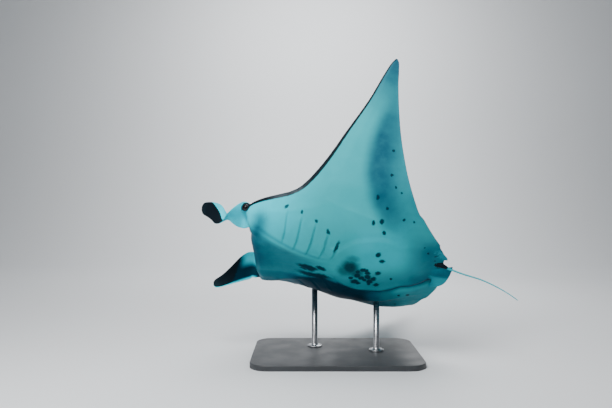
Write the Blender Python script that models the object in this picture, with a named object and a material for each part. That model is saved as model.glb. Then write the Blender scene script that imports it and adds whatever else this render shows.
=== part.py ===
"""A life-size reef manta ray, still, banking on a plain display stand.

The ray is drawn flat first. A point is (a, b, c): a metres behind the front of the head, b metres
to its left along the skin's middle surface, c metres towards its back. swim() bends the flat ray
into its wing beat and banks it over the stand. Everything is in metres, +Z up, with the origin on
the floor at the middle of the stand.
"""

import math

import bmesh
import bpy
import numpy as np
from mathutils import Matrix, Vector

# Driving sizes of the ray
DISC_WIDTH = 3.0
HALF_SPAN = DISC_WIDTH / 2
HEAD_CUT = 0.232
WING_ROOT = 0.42
NODE_GAP = 0.0003
TRAILING_EDGE_HALF = 0.0022
TIP_ROUNDING = 0.012

# Wing beat: how steeply each wing rises, in degrees, halfway out and at its tip
BEND_START = 0.15
BEND_FULL = 0.62
LEFT_WING_RISE = (56.0, 66.0)
RIGHT_WING_RISE = (52.0, 62.0)
LEFT_LAG = 0.035
RIGHT_LAG = 0.064
RIGHT_LAG_GROWS = (0.60, 0.92)
RIGHT_LAG_EASES = (0.98, 1.20)
RIGHT_LAG_LOSS = 0.6
RIGHT_SHOULDER_LIFT = 0.070
RIGHT_SHOULDER_ENDS = (0.28, 0.66)
RIGHT_REAR_STRETCH = 0.042
EDGE_FRILL = 0.006
FRILL_WAVES = 34.0

# How the ray is held over the stand
ROLL = math.radians(37.7)
YAW = math.radians(13.9)
PITCH = math.radians(4.8)
HEAD_FRONT = (-0.60, 0.02, 0.78)

# The ridge that runs back from each corner of the lower jaw along the inner ends of the gills
THROAT_RIDGE = 0.010
THROAT_RIDGE_WIDTH = 0.030
THROAT_RIDGE_LINE = ((0.02, 0.262), (0.12, 0.231), (0.28, 0.153), (0.44, 0.090), (0.56, 0.048))

# Where the thick body turns into the thin wing going out, and the head into the trunk going back
BODY_TO_WING = (0.27, 0.49)
HEAD_TO_TRUNK = (0.10, 0.32)

# Mouth, a wide lens between the cephalic fins
MOUTH_HALF_WIDTH = 0.20
MOUTH_GAPE = 0.06
MOUTH_DEPTH = 0.13
LOWER_JAW_SETBACK = 0.018
MOUTH_LEVEL = -0.035

# Eyes with their lids, spiracles behind them, nostrils at the corners of the mouth
EYES_AT = {1: (0.018, 0.314, -0.018), -1: (0.060, 0.300, 0.024)}
EYE_RADIUS = 0.030
EYE_LOOKS_DOWN = math.radians(30)
LID_LENGTH = 0.064
LID_HEIGHT = 0.056
LID_THICKNESS = 0.009
LID_STANDS_OUT = 0.007
SPIRACLE_AT = (0.115, 0.262)
SPIRACLE_RADII = (0.019, 0.008, 0.012)
NOSTRIL_AT = (0.020, 0.208, -0.020)
NOSTRIL_RADII = (0.012, 0.016, 0.007)

# Cephalic fins: forward, left, up, width and turn of each station from root to tip. A turn of 0
# spreads the fin along its wide way, a turn of 90 along its flat way.
LEFT_CEPHALIC = (
    (-0.080, 0.215, 0.010, 0.110, -25), (-0.030, 0.228, 0.016, 0.150, -18),
    (0.010, 0.242, 0.018, 0.182, -4), (0.053, 0.252, -0.008, 0.172, 28),
    (0.098, 0.262, -0.036, 0.140, 62), (0.138, 0.258, -0.046, 0.134, 120),
    (0.186, 0.258, -0.020, 0.144, 148), (0.251, 0.250, 0.024, 0.118, 165),
    (0.315, 0.240, 0.050, 0.090, 175), (0.342, 0.240, 0.052, 0.052, 178),
)
RIGHT_CEPHALIC = (
    (-0.070, -0.250, 0.000, 0.100, 152), (-0.025, -0.248, 0.018, 0.140, 156),
    (0.012, -0.234, 0.032, 0.182, 166), (0.045, -0.224, 0.012, 0.198, 174),
    (0.082, -0.222, -0.026, 0.180, 177), (0.115, -0.227, -0.066, 0.148, 174),
    (0.148, -0.232, -0.106, 0.116, 170), (0.182, -0.238, -0.144, 0.090, 165),
    (0.216, -0.240, -0.176, 0.072, 161), (0.247, -0.240, -0.192, 0.054, 158),
)
CEPHALIC_THICKNESS = 0.022
FIN_CUP = 0.10
FIN_RING_TILT = 0.35
FIN_WIDE_WAY = (0.0, 0.79, 0.61)
FIN_FLAT_WAY = (-0.24, 0.59, -0.77)

# Gill slits: outer end and inner end of each as (a, b), first to last
GILL_SLITS = (
    (0.327, 0.345, 0.285, 0.150), (0.427, 0.328, 0.352, 0.114), (0.518, 0.300, 0.430, 0.080),
    (0.595, 0.245, 0.515, 0.056), (0.652, 0.176, 0.600, 0.060),
)
GILL_COUNT = len(GILL_SLITS)
GILL_BOW = 0.014
GILL_FLAP_CHORD = (0.050, 0.082, 0.078, 0.074, 0.060)
GILL_FLAP_LIFT = 0.009
GILL_FLAP_SUNK = 0.012

# Tail: its line as forward, left, up, and its radius, by share of its length
TAIL_LENGTH = 0.62
TAIL_SHARES = (0.0, 0.12, 0.22, 0.38, 0.55, 0.75, 0.88, 1.0)
TAIL_LINE = (
    (-1.255, 0.000, 0.000), (-1.315, -0.004, -0.012), (-1.369, -0.015, -0.028),
    (-1.465, -0.035, -0.044), (-1.561, -0.055, -0.051), (-1.665, -0.080, -0.076),
    (-1.737, -0.100, -0.104), (-1.801, -0.120, -0.137),
)
TAIL_RADII = (
    (0.0, 0.012), (0.06, 0.0175), (0.12, 0.0170), (0.18, 0.0110), (0.22, 0.0075), (0.30, 0.0056),
    (0.70, 0.0042), (1.0, 0.0026),
)
TAIL_PIECES = (("tail_root", 0.0, 0.34), ("tail_middle", 0.34, 0.67), ("tail_tip", 0.67, 1.0))

# Little fins beside the tail's root: one on the back, and two whose root ends and the way that
# they point are forward, left, up
DORSAL_FRONT = 1.185
DORSAL_REAR = 1.315
DORSAL_HEIGHT = 0.060
DORSAL_SUNK = 0.030
DORSAL_LEAN = 0.9
DORSAL_THICKNESS = 0.016
DORSAL_TAPER = 0.72
DORSAL_FULLNESS = 2.2
PELVIC_LENGTH = 0.145
PELVIC_THICKNESS = 0.014
PELVIC_TAPER = 0.85
PELVIC_FULLNESS = 5.0
LEFT_PELVIC_ROOT = ((-1.210, 0.025, -0.004), (-1.210, 0.110, -0.008))
LEFT_PELVIC_POINTS = (-1.0, 0.08, -0.02)
RIGHT_PELVIC_ROOT = ((-1.250, -0.036, -0.018), (-1.244, -0.194, -0.032))
RIGHT_PELVIC_POINTS = (-0.94, 0.28, -0.06)

# Stand
BASE_SIZE = (1.15, 0.80, 0.035)
BASE_CORNER = 0.12
ROD_RADIUS = 0.021
ROD_STATIONS = ((0.44, -0.365), (0.88, -0.365))

# Plain finishes
GREY = (0.55, 0.58, 0.60)
DARK = (0.03, 0.03, 0.035)
STAND_GREY = (0.20, 0.20, 0.21)
STEEL = (0.60, 0.60, 0.62)

# How finely the solids are faceted
CHORD_STEPS = 17
WING_LINES = 15
BODY_LINES = 16
MOUTH_STEPS = 3


def smooth_curve(knots):
    """A smooth function through a few (x, y) knots, level past its ends, that never overshoots."""
    x, y = (np.array(v, float) for v in zip(*knots))
    step = np.diff(y) / np.diff(x)
    slope = np.zeros(len(x))
    same_way = step[1:] * step[:-1] > 0
    slope[1:-1][same_way] = (2 * step[1:] * step[:-1] / (step[1:] + step[:-1] + 1e-12))[same_way]
    slope[0], slope[-1] = step[0], step[-1]

    def value(at):
        at = np.clip(np.asarray(at, float), x[0], x[-1])
        i = np.clip(np.searchsorted(x, at) - 1, 0, len(x) - 2)
        w = x[i + 1] - x[i]
        t = (at - x[i]) / w
        return (
            y[i] * (1 + 2 * t) * (1 - t) ** 2
            + slope[i] * w * t * (1 - t) ** 2
            + y[i + 1] * t * t * (3 - 2 * t)
            - slope[i + 1] * w * t * t * (1 - t)
        )

    return value


def ramp(x, start, end):
    """0 up to the start and 1 from the end on, with a smooth slope between them."""
    x = np.clip((x - start) / (end - start), 0, 1)
    return x * x * (3 - 2 * x)


def rounded(x):
    """A quarter ellipse: 0 at the rim, 1 one rim width in."""
    x = np.clip(x, 0, 1)
    return np.sqrt(np.maximum(0, 1 - (1 - x) ** 2))


# The flat outline: leading and trailing edges of the wing as a of b
leading_edge = smooth_curve(
    ((0.38, 0.130), (0.42, 0.235), (0.445, 0.315), (0.487, 0.388), (0.65, 0.508), (0.90, 0.636),
     (1.15, 0.757), (1.35, 0.829), (1.45, 0.868), (1.49, 0.893))
)
trailing_edge = smooth_curve(
    ((0.0, 1.348), (0.05, 1.352), (0.10, 1.336), (0.15, 1.302), (0.20, 1.270), (0.30, 1.212),
     (0.34, 1.188), (0.365, 1.164), (0.42, 1.138), (0.62, 1.063), (0.94, 0.985), (1.28, 0.936),
     (1.45, 0.921), (1.49, 0.905))
)
# The head's outline from the middle of the upper jaw round its corner to the wing, along itself
head_side_a = smooth_curve(
    ((0.0, 0.032), (0.25, 0.030), (0.42, 0.044), (0.52, 0.034), (0.60, 0.018), (0.70, 0.050),
     (0.80, 0.100), (0.90, 0.155), (0.96, 0.195), (1.0, 0.235))
)
head_side_b = smooth_curve(
    ((0.0, 0.0), (0.25, 0.120), (0.42, 0.200), (0.52, 0.262), (0.60, 0.306), (0.70, 0.345),
     (0.80, 0.373), (0.90, 0.395), (0.96, 0.408), (1.0, 0.42))
)

# Depth of the body above and below its middle surface, along its length and across it
back_height = smooth_curve(
    ((0.0, 0.062), (0.08, 0.090), (0.22, 0.120), (0.42, 0.150), (0.62, 0.146), (0.85, 0.112),
     (1.05, 0.072), (1.20, 0.045), (1.335, 0.030))
)
belly_depth = smooth_curve(
    ((0.0, 0.112), (0.08, 0.128), (0.22, 0.145), (0.42, 0.156), (0.65, 0.150), (0.85, 0.120),
     (1.05, 0.076), (1.20, 0.046), (1.335, 0.030))
)
back_across = smooth_curve(
    ((0.0, 1.0), (0.12, 0.98), (0.22, 0.88), (0.30, 0.74), (0.38, 0.57), (0.46, 0.44), (0.60, 0.30))
)
head_across = smooth_curve(
    ((0.0, 1.0), (0.16, 0.99), (0.24, 0.94), (0.30, 0.84), (0.36, 0.62), (0.46, 0.40))
)
cheek_across = smooth_curve(
    ((0.0, 1.0), (0.14, 0.98), (0.20, 0.88), (0.25, 0.70), (0.30, 0.52), (0.36, 0.40), (0.46, 0.36))
)
belly_across = smooth_curve(
    ((0.0, 1.0), (0.12, 0.98), (0.20, 0.88), (0.30, 0.68), (0.38, 0.50), (0.46, 0.40), (0.60, 0.30))
)
throat_ridge_out = smooth_curve(THROAT_RIDGE_LINE)
wing_half_depth = smooth_curve(
    ((0.30, 0.078), (0.42, 0.060), (0.60, 0.040), (0.90, 0.025), (1.20, 0.014), (1.40, 0.008),
     (1.49, 0.005))
)


def outlines(count=400):
    """Dense flat points of the front outline and of the rear one, on the left side."""
    along = np.linspace(0, 1, count)
    b = np.linspace(WING_ROOT, HALF_SPAN - TIP_ROUNDING, count)
    front = np.concatenate(
        [np.stack([head_side_a(along), head_side_b(along)], 1), np.stack([leading_edge(b), b], 1)]
    )
    b = np.linspace(0, HALF_SPAN - TIP_ROUNDING, 2 * count)
    return front, np.stack([trailing_edge(b), b], 1)


FRONT_OUTLINE, REAR_OUTLINE = outlines()


def distance(a, b, outline):
    """How far each flat point lies from an outline."""
    a, b = np.broadcast_arrays(np.asarray(a, float), np.asarray(b, float))
    gap = np.hypot(a[..., None] - outline[:, 0], b[..., None] - outline[:, 1])
    return gap.min(-1)


def half_depths(a, b):
    """Heights of the back and depths of the belly from the middle surface at flat points, b >= 0."""
    from_front = distance(a, b, FRONT_OUTLINE)
    from_rear = distance(a, b, REAR_OUTLINE)
    chord = trailing_edge(b) - leading_edge(b)
    wing = ramp(b, *BODY_TO_WING)
    cheek = 1 - ramp(a, *HEAD_TO_TRUNK)
    nose_width = (1 - wing) * (0.075 - 0.030 * ramp(b, 0.20, 0.26)) + wing * 0.34 * chord
    tail_width = (1 - wing) * 0.16 + wing * 0.70 * chord
    near_rim = rounded(from_front / nose_width)
    taper = np.clip(from_rear / tail_width, 0, 1)
    taper = taper * (1.35 - 0.35 * taper)
    back = back_height(a) * (back_across(b) * (1 - cheek) + head_across(b) * cheek)
    belly = belly_depth(a) * (belly_across(b) * (1 - cheek) + cheek_across(b) * cheek)
    off_ridge = (b - throat_ridge_out(a)) / THROAT_RIDGE_WIDTH
    ridge = THROAT_RIDGE * np.exp(-(off_ridge**2)) * ramp(a, 0.0, 0.12)
    belly = belly + ridge * (1 - ramp(a, 0.42, 0.62))
    back = (1 - wing) * back + wing * wing_half_depth(b)
    belly = (1 - wing) * belly + wing * wing_half_depth(b)
    thin = TRAILING_EDGE_HALF * np.clip(from_front / 0.01, 0, 1)
    return (
        np.maximum(back * near_rim * taper, thin),
        np.maximum(belly * near_rim * taper, thin),
    )


def middle(a, b, side):
    """Height of the middle surface: the jaw hangs a little, and each wing's rear lags its front."""
    jaw = MOUTH_LEVEL * (1 - ramp(a, 0.0, 0.30)) * (1 - ramp(b, 0.22, 0.36))
    share = np.clip((a - 0.5) / 0.8, 0, 1)
    out = ramp(b, 0.15, 0.65) * (1 - ramp(b, 0.75, 1.35))
    lag = LEFT_LAG * share**2
    if side < 0:
        lag = RIGHT_LAG * ramp(a, *RIGHT_LAG_GROWS)
        lag = lag * (1 - RIGHT_LAG_LOSS * ramp(a, *RIGHT_LAG_EASES))
    lift = 0.0 if side > 0 else RIGHT_SHOULDER_LIFT
    lift = lift * (1 - ramp(a, *RIGHT_SHOULDER_ENDS)) * ramp(b, 0.12, 0.36)
    lift = lift * (1 - ramp(b, 0.55, 0.95))
    frill = EDGE_FRILL * np.sin(FRILL_WAVES * b) * ramp(share, 0.55, 1.0)
    return jaw + lift - (lag - frill) * out


def wing_curve(rise):
    """The line that the middle surface follows across the ray, seen from ahead."""
    halfway, tip = (math.radians(v) for v in rise)
    b = np.linspace(0, HALF_SPAN, 400)
    angle = halfway * ramp(b, BEND_START, BEND_FULL)
    outer = np.clip((b - BEND_FULL) / (HALF_SPAN - BEND_FULL), 0, 1)
    angle = angle + (tip - halfway) * outer**2
    steps = np.diff(b)
    across = np.concatenate([[0], np.cumsum((np.cos(angle[1:]) + np.cos(angle[:-1])) / 2 * steps)])
    up = np.concatenate([[0], np.cumsum((np.sin(angle[1:]) + np.sin(angle[:-1])) / 2 * steps)])
    return b, across, up, angle


WING_CURVES = {1: wing_curve(LEFT_WING_RISE), -1: wing_curve(RIGHT_WING_RISE)}


def bank_matrix():
    """Turns (forward, left, up) of the ray into the stand's axes."""
    level = Matrix(((-1, 0, 0), (0, -math.sin(ROLL), math.cos(ROLL)), (0, math.cos(ROLL), math.sin(ROLL))))
    return Matrix.Rotation(PITCH, 3, "Y") @ Matrix.Rotation(-YAW, 3, "Z") @ level


BANK = np.array(bank_matrix())
UP = Vector((0, 0, 1))


def place(forward, left, up):
    """A point of the bent ray, in its own axes, where it stands over the base."""
    own = np.stack(np.broadcast_arrays(forward, left, up), -1).astype(float)
    return own @ BANK.T + np.array(HEAD_FRONT)


def swim(a, b, c, side):
    """Flat points, b >= 0, bent on their side of the ray: 1 is left, -1 is right."""
    a = np.asarray(a, float)
    if side < 0:
        bulge = ramp(b, 0.08, 0.25) * (1 - ramp(b, 0.42, 0.67))
        a = a + RIGHT_REAR_STRETCH * bulge * ramp(a, 0.7, 1.2)
    reach, across, up, angle = WING_CURVES[side]
    turn = np.interp(b, reach, angle)
    left = np.interp(b, reach, across) - np.sin(turn) * c
    rise = np.interp(b, reach, up) + np.cos(turn) * c
    return place(-a, side * left, rise)


def skin(a, b, side, lift=0.0, belly=True):
    """Points on the belly or the back over flat points, lifted off it."""
    back_up, belly_down = half_depths(a, b)
    level = middle(a, b, side)
    c = level - belly_down - lift if belly else level + back_up + lift
    return swim(a, b, c, side)


def new_object(name, mesh, colour, roughness=0.5, metallic=0.0):
    """Puts a finished mesh in the part's collection with a finish of its own."""
    obj = bpy.data.objects.new(name, mesh)
    bpy.data.collections["manta_ray"].objects.link(obj)
    finish = bpy.data.materials.new(name + "_finish")
    finish.use_nodes = True
    shader = finish.node_tree.nodes["Principled BSDF"]
    shader.inputs["Base Color"].default_value = (*colour, 1.0)
    shader.inputs["Roughness"].default_value = roughness
    shader.inputs["Metallic"].default_value = metallic
    mesh.materials.clear()
    mesh.materials.append(finish)
    return obj


def mesh_from(bm, name):
    """Closes a bmesh into a mesh whose faces point out."""
    bmesh.ops.remove_doubles(bm, verts=bm.verts, dist=0.000005)
    bmesh.ops.recalc_face_normals(bm, faces=bm.faces)
    mesh = bpy.data.meshes.new(name)
    bm.to_mesh(mesh)
    bm.free()
    return mesh


def section(front, rear, side, mouth):
    """One line of the body from rear to nose over the back, and to the rear again under the belly."""
    t = (np.arange(CHORD_STEPS + 1) / CHORD_STEPS) ** 1.45
    a = front[0] + (rear[0] - front[0]) * t
    b = front[1] + (rear[1] - front[1]) * t
    back_up, belly_down = half_depths(a, b)
    level = middle(a, b, side)
    top, low = level + back_up, level - belly_down
    top[0] = low[0] = level[0]
    gape = MOUTH_GAPE * mouth
    inner = math.sqrt(mouth)
    jaw_back = LOWER_JAW_SETBACK * inner * (1 - ramp(a - front[0], 0.0, 0.25))
    rim = 1 - ramp(a - front[0], 0.0, 0.10)
    top = top + rim * gape * 0.35
    top[0] = level[0] + gape * 0.5
    low[0] = level[0] - gape * 0.5
    over = [swim(a[j], b[j], top[j], side) for j in range(CHORD_STEPS, -1, -1)]
    under = [swim(a[j] + jaw_back[j], b[j], low[j], side) for j in range(CHORD_STEPS + 1)]
    pocket = []
    for k in range(1, MOUTH_STEPS + 1):
        turn = math.pi * k / (MOUTH_STEPS + 1)
        deep = MOUTH_DEPTH * inner * math.sin(turn)
        edge = jaw_back[0] * (1 - math.cos(turn)) / 2
        height = level[0] + gape * 0.5 * math.cos(turn)
        pocket.append(swim(a[0] + edge + deep, b[0], height, side))
    return over + pocket + under


def loft(lines, name, cap_start=True, cap_end=True):
    """Skins neighbouring sections, each quad cut along the same diagonal, and closes the ends."""
    bm = bmesh.new()
    rows = [[bm.verts.new(p) for p in line] for line in lines]
    count = len(rows[0])
    for near, far in zip(rows, rows[1:]):
        for j in range(count):
            k = (j + 1) % count
            mirror = j > count // 2
            corners = (near[j], near[k], far[k], far[j])
            first = (0, 1, 2) if mirror else (0, 1, 3)
            second = (0, 2, 3) if mirror else (1, 2, 3)
            bm.faces.new([corners[i] for i in first])
            bm.faces.new([corners[i] for i in second])
    if cap_start:
        bm.faces.new(rows[0])
    if cap_end:
        bm.faces.new(reversed(rows[-1]))
    return mesh_from(bm, name)


def mouth_share(b):
    """1 at the middle of the mouth, 0 from its corner out."""
    return float(max(0.0, 1 - (b / MOUTH_HALF_WIDTH) ** 2)) ** 0.6


def body_lines(side):
    """Sections from the middle line out to the wing root on one side."""
    lines = []
    root_b = WING_ROOT - NODE_GAP / 2
    for k in range(BODY_LINES + 1):
        share = k / BODY_LINES
        front = (float(head_side_a(share)), float(head_side_b(share)))
        rear_b = root_b * share
        rear = (float(trailing_edge(rear_b)), rear_b)
        if k == BODY_LINES:
            front = (float(leading_edge(root_b)), root_b)
        lines.append(section(front, rear, side, mouth_share(front[1])))
    return lines


def wing_lines(side):
    """Sections from the wing root to the tip on one side."""
    lines = []
    start = WING_ROOT + NODE_GAP / 2
    for k in range(WING_LINES + 1):
        share = k / WING_LINES
        b = start + (HALF_SPAN - TIP_ROUNDING - start) * (1 - (1 - share) ** 1.25)
        lines.append(section((float(leading_edge(b)), b), (float(trailing_edge(b)), b), side, 0.0))
    return lines


def keep_side(mesh, point, normal, name):
    """The part of a closed mesh behind a plane, with the cut closed."""
    bm = bmesh.new()
    bm.from_mesh(mesh)
    everything = bm.verts[:] + bm.edges[:] + bm.faces[:]
    bmesh.ops.bisect_plane(
        bm, geom=everything, plane_co=point, plane_no=normal, clear_outer=True, dist=0.00001
    )
    rim = [e for e in bm.edges if e.is_boundary]
    bmesh.ops.holes_fill(bm, edges=rim)
    return mesh_from(bm, name)


def swollen(obj, by=NODE_GAP):
    """A copy of an object grown by the gap that touching nodes keep, for cutting its neighbours."""
    bm = bmesh.new()
    bm.from_mesh(obj.data)
    bmesh.ops.triangulate(bm, faces=bm.faces)
    bm.normal_update()
    moves = [v.normal * by for v in bm.verts]
    for vert, move in zip(bm.verts, moves):
        vert.co += move
    mesh = bpy.data.meshes.new(obj.name + "_cutter")
    bm.to_mesh(mesh)
    bm.free()
    cutter = bpy.data.objects.new(mesh.name, mesh)
    cutter.hide_render = True
    cutter.display_type = "WIRE"
    bpy.data.collections["cutters"].objects.link(cutter)
    return cutter


def largest_body(mesh):
    """Drops every loose scrap of a mesh but its largest piece, and says if that piece is closed."""
    bm = bmesh.new()
    bm.from_mesh(mesh)
    left = set(bm.verts)
    pieces = []
    while left:
        stack = [left.pop()]
        piece = list(stack)
        while stack:
            for edge in stack.pop().link_edges:
                for vert in edge.verts:
                    if vert in left:
                        left.discard(vert)
                        stack.append(vert)
                        piece.append(vert)
        pieces.append(piece)
    pieces.sort(key=len, reverse=True)
    for piece in pieces[1:]:
        bmesh.ops.delete(bm, geom=piece, context="VERTS")
    closed = len(bm.faces) > 0 and all(e.is_manifold for e in bm.edges)
    bm.to_mesh(mesh)
    bm.free()
    return closed


def join(obj, others):
    """Unites an object with others in one exact Boolean and keeps the largest closed surface."""
    group = bpy.data.collections.new("operands")
    for other in others:
        group.objects.link(other)
    change = obj.modifiers.new("join", "BOOLEAN")
    change.operation = "UNION"
    change.operand_type = "COLLECTION"
    change.collection = group
    apply_modifiers(obj)
    bpy.data.collections.remove(group)


def cut(obj, cutters):
    """Takes cutters away from an object one after another."""
    for cutter in cutters:
        change = obj.modifiers.new("cut", "BOOLEAN")
        change.operation = "DIFFERENCE"
        change.object = cutter
        apply_modifiers(obj)


def apply_modifiers(obj):
    """Makes the Boolean result the object's own mesh; a result with a gap is made the other way."""
    for solver in ("EXACT", "MANIFOLD"):
        obj.modifiers[0].solver = solver
        bpy.context.view_layer.update()
        graph = bpy.context.evaluated_depsgraph_get()
        mesh = bpy.data.meshes.new_from_object(obj.evaluated_get(graph))
        if largest_body(mesh):
            break
    obj.modifiers.clear()
    obj.data = mesh


def loose_object(mesh):
    """A piece that is about to be joined or used as a cutter."""
    obj = bpy.data.objects.new(mesh.name, mesh)
    bpy.data.collections["cutters"].objects.link(obj)
    return obj


def discard(objects):
    for obj in objects:
        bpy.data.objects.remove(obj)


def tube(line, radius, shares, name, sides=12):
    """A round bar along a smooth line, tapering, closed at both ends."""
    bm = bmesh.new()
    rings = []
    for share in shares:
        centre, before, after = (
            Vector(place(*(p(s) for p in line)).tolist()) for s in (share, share - 0.01, share + 0.01)
        )
        ahead = (after - before).normalized()
        across = (UP - ahead * UP.dot(ahead)).normalized()
        other = ahead.cross(across)
        thick = float(radius(share))
        rings.append([
            bm.verts.new(centre + thick * (math.cos(t) * across + math.sin(t) * other))
            for t in (2 * math.pi * k / sides for k in range(sides))
        ])
    for near, far in zip(rings, rings[1:]):
        for k in range(sides):
            n = (k + 1) % sides
            bm.faces.new((near[k], near[n], far[n], far[k]))
    bm.faces.new(reversed(rings[0]))
    bm.faces.new(rings[-1])
    return mesh_from(bm, name)


def ribbon(stations, thickness, name, steps=14, sides=14):
    """A twisting fin: each station is forward, left, up, width and turn in degrees."""
    rows = np.array(stations, float)
    at = np.linspace(0, 1, len(rows))
    curve = [smooth_curve(list(zip(at, rows[:, i]))) for i in range(5)]
    along = np.linspace(0, 1, steps + 1)
    forward, left, up, width, turn = (c(along) for c in curve)
    centres = place(forward, left, up)
    wide_way = Vector(BANK @ np.array(FIN_WIDE_WAY))
    flat_way = Vector(BANK @ np.array(FIN_FLAT_WAY))
    bm = bmesh.new()
    rings = []
    for i in range(steps + 1):
        ahead = Vector(centres[min(i + 1, steps)] - centres[max(i - 1, 0)]).normalized()
        spin = math.radians(turn[i])
        across = math.cos(spin) * wide_way + math.sin(spin) * flat_way
        across = (across - FIN_RING_TILT * ahead * across.dot(ahead)).normalized()
        out = across.cross(ahead).normalized()
        ring = []
        for k in range(sides):
            t = 2 * math.pi * k / sides
            x = math.cos(t) * float(width[i]) / 2
            cup = FIN_CUP * float(width[i]) * (1 - math.cos(t) ** 2)
            y = math.sin(t) * thickness * (1 - 0.55 * float(along[i])) / 2 + cup
            ring.append(bm.verts.new(Vector(centres[i]) + x * across + y * out))
        rings.append(ring)
    for near, far in zip(rings, rings[1:]):
        for k in range(sides):
            n = (k + 1) % sides
            bm.faces.new((near[k], near[n], far[n], far[k]))
    bm.faces.new(reversed(rings[0]))
    bm.faces.new(rings[-1])
    return mesh_from(bm, name)


def plate(outer, inner, name):
    """A closed sheet between two grids of points of the same shape."""
    bm = bmesh.new()
    top = [[bm.verts.new(p) for p in row] for row in outer]
    low = [[bm.verts.new(p) for p in row] for row in inner]
    rows, columns = len(top), len(top[0])
    for i in range(rows - 1):
        for j in range(columns - 1):
            bm.faces.new((top[i][j], top[i + 1][j], top[i + 1][j + 1], top[i][j + 1]))
            bm.faces.new((low[i][j], low[i][j + 1], low[i + 1][j + 1], low[i + 1][j]))
    rim = [(i, 0) for i in range(rows)] + [(rows - 1, j) for j in range(1, columns)]
    rim += [(i, columns - 1) for i in range(rows - 2, -1, -1)] + [(0, j) for j in range(columns - 2, 0, -1)]
    for (i, j), (m, n) in zip(rim, rim[1:] + rim[:1]):
        bm.faces.new((top[i][j], top[m][n], low[m][n], low[i][j]))
    return mesh_from(bm, name)


def gill_flap(number, side):
    """One flap of skin over a gill slit: its front sinks into the belly, its rear edge stands free."""
    outer_a, outer_b, inner_a, inner_b = GILL_SLITS[number]
    across = np.linspace(0, 1, 13)[:, None]
    back = np.linspace(0, 1, 4)[None, :]
    arch = np.sin(np.pi * across)
    slit_a = inner_a + (outer_a - inner_a) * across + GILL_BOW * arch
    a = slit_a - GILL_FLAP_CHORD[number] * (0.55 + 0.45 * arch) * (1 - back)
    b = inner_b + (outer_b - inner_b) * across + 0 * back
    raised = np.minimum(1, 2.2 * arch)
    lift = -GILL_FLAP_SUNK * 0.4 + (GILL_FLAP_LIFT + GILL_FLAP_SUNK * 0.4) * back * raised
    thick = GILL_FLAP_SUNK * (1 - 0.55 * back)
    return plate(skin(a, b, side, lift), skin(a, b, side, lift - thick), "gill_flap")


def ball(centre, radii, name, segments=16, rings=10):
    """An ellipsoid whose axes follow the ray: forward, left and up radii."""
    bm = bmesh.new()
    bmesh.ops.create_uvsphere(bm, u_segments=segments, v_segments=rings, radius=1)
    for vert in bm.verts:
        forward, left, up = (vert.co.x * radii[0], vert.co.z * radii[1], vert.co.y * radii[2])
        vert.co = centre + Vector(BANK @ np.array((forward, left, up)))
    return mesh_from(bm, name)


def lid_ring(centre, side, name, around=18, sides=8):
    """The two lids of an eye as one soft oval ring, square to the way that the eye looks."""
    forward = Vector(BANK @ np.array((1.0, 0.0, 0.0)))
    low, level = math.sin(EYE_LOOKS_DOWN), math.cos(EYE_LOOKS_DOWN)
    look = Vector(BANK @ np.array((0.0, side * level, -low)))
    upper = Vector(BANK @ np.array((0.0, side * low, level)))
    bm = bmesh.new()
    rings = []
    for i in range(around):
        t = 2 * math.pi * i / around
        ring = []
        for k in range(sides):
            s = 2 * math.pi * k / sides
            out = LID_THICKNESS * math.cos(s)
            reach = LID_THICKNESS * 1.1 * math.sin(s) + LID_STANDS_OUT
            along = (LID_LENGTH / 2 + out) * math.cos(t)
            high = (LID_HEIGHT / 2 + out) * math.sin(t)
            ring.append(bm.verts.new(centre + along * forward + reach * look + high * upper))
        rings.append(ring)
    for i in range(around):
        near, far = rings[i], rings[(i + 1) % around]
        for k in range(sides):
            n = (k + 1) % sides
            bm.faces.new((near[k], near[n], far[n], far[k]))
    return mesh_from(bm, name)


def small_fin(root, sweep, height, thickness, direction, taper, fullness, name):
    """A little blade that stands on a root line, leans back and narrows to its tip."""
    root_front, root_rear = root
    lines = []
    for share in (0.0, 0.3, 0.55, 0.75, 0.9, 1.0):
        chord = 1 - taper * share**fullness
        start = root_front + sweep * share + direction * height * share
        length = (root_rear - root_front) * chord
        side_way = length.cross(direction).normalized()
        line = []
        for k in range(12):
            t = 2 * math.pi * k / 12
            x = (1 - math.cos(t)) / 2
            y = math.sin(t) * thickness / 2 * (1 - 0.75 * share)
            line.append(start + length * x + side_way * y)
        lines.append(line)
    return loft(lines, name)


def lathe(profile, name, at, sides=28):
    """A turned solid on a vertical axis from (radius, height) pairs, closed at both ends."""
    bm = bmesh.new()
    rings = []
    for radius, height in profile:
        rings.append([
            bm.verts.new((at[0] + radius * math.cos(t), at[1] + radius * math.sin(t), height))
            for t in (2 * math.pi * k / sides for k in range(sides))
        ])
    for near, far in zip(rings, rings[1:]):
        for k in range(sides):
            n = (k + 1) % sides
            bm.faces.new((near[k], near[n], far[n], far[k]))
    bm.faces.new(reversed(rings[0]))
    bm.faces.new(rings[-1])
    return mesh_from(bm, name)


def stand_base_mesh():
    """A flat slab with rounded corners and a soft upper edge."""
    bm = bmesh.new()
    bmesh.ops.create_cube(bm, size=1)
    bmesh.ops.scale(bm, vec=BASE_SIZE, verts=bm.verts)
    bmesh.ops.translate(bm, vec=(0, 0, BASE_SIZE[2] / 2), verts=bm.verts)
    upright = [e for e in bm.edges if abs(e.verts[0].co.z - e.verts[1].co.z) > 0.01]
    bmesh.ops.bevel(bm, geom=upright, offset=BASE_CORNER, segments=8, affect="EDGES", profile=0.5)
    upper = [e for e in bm.edges if min(v.co.z for v in e.verts) > BASE_SIZE[2] - 0.0001]
    bmesh.ops.bevel(bm, geom=upper, offset=0.006, segments=2, affect="EDGES", profile=0.5)
    return mesh_from(bm, "stand_base")


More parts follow.
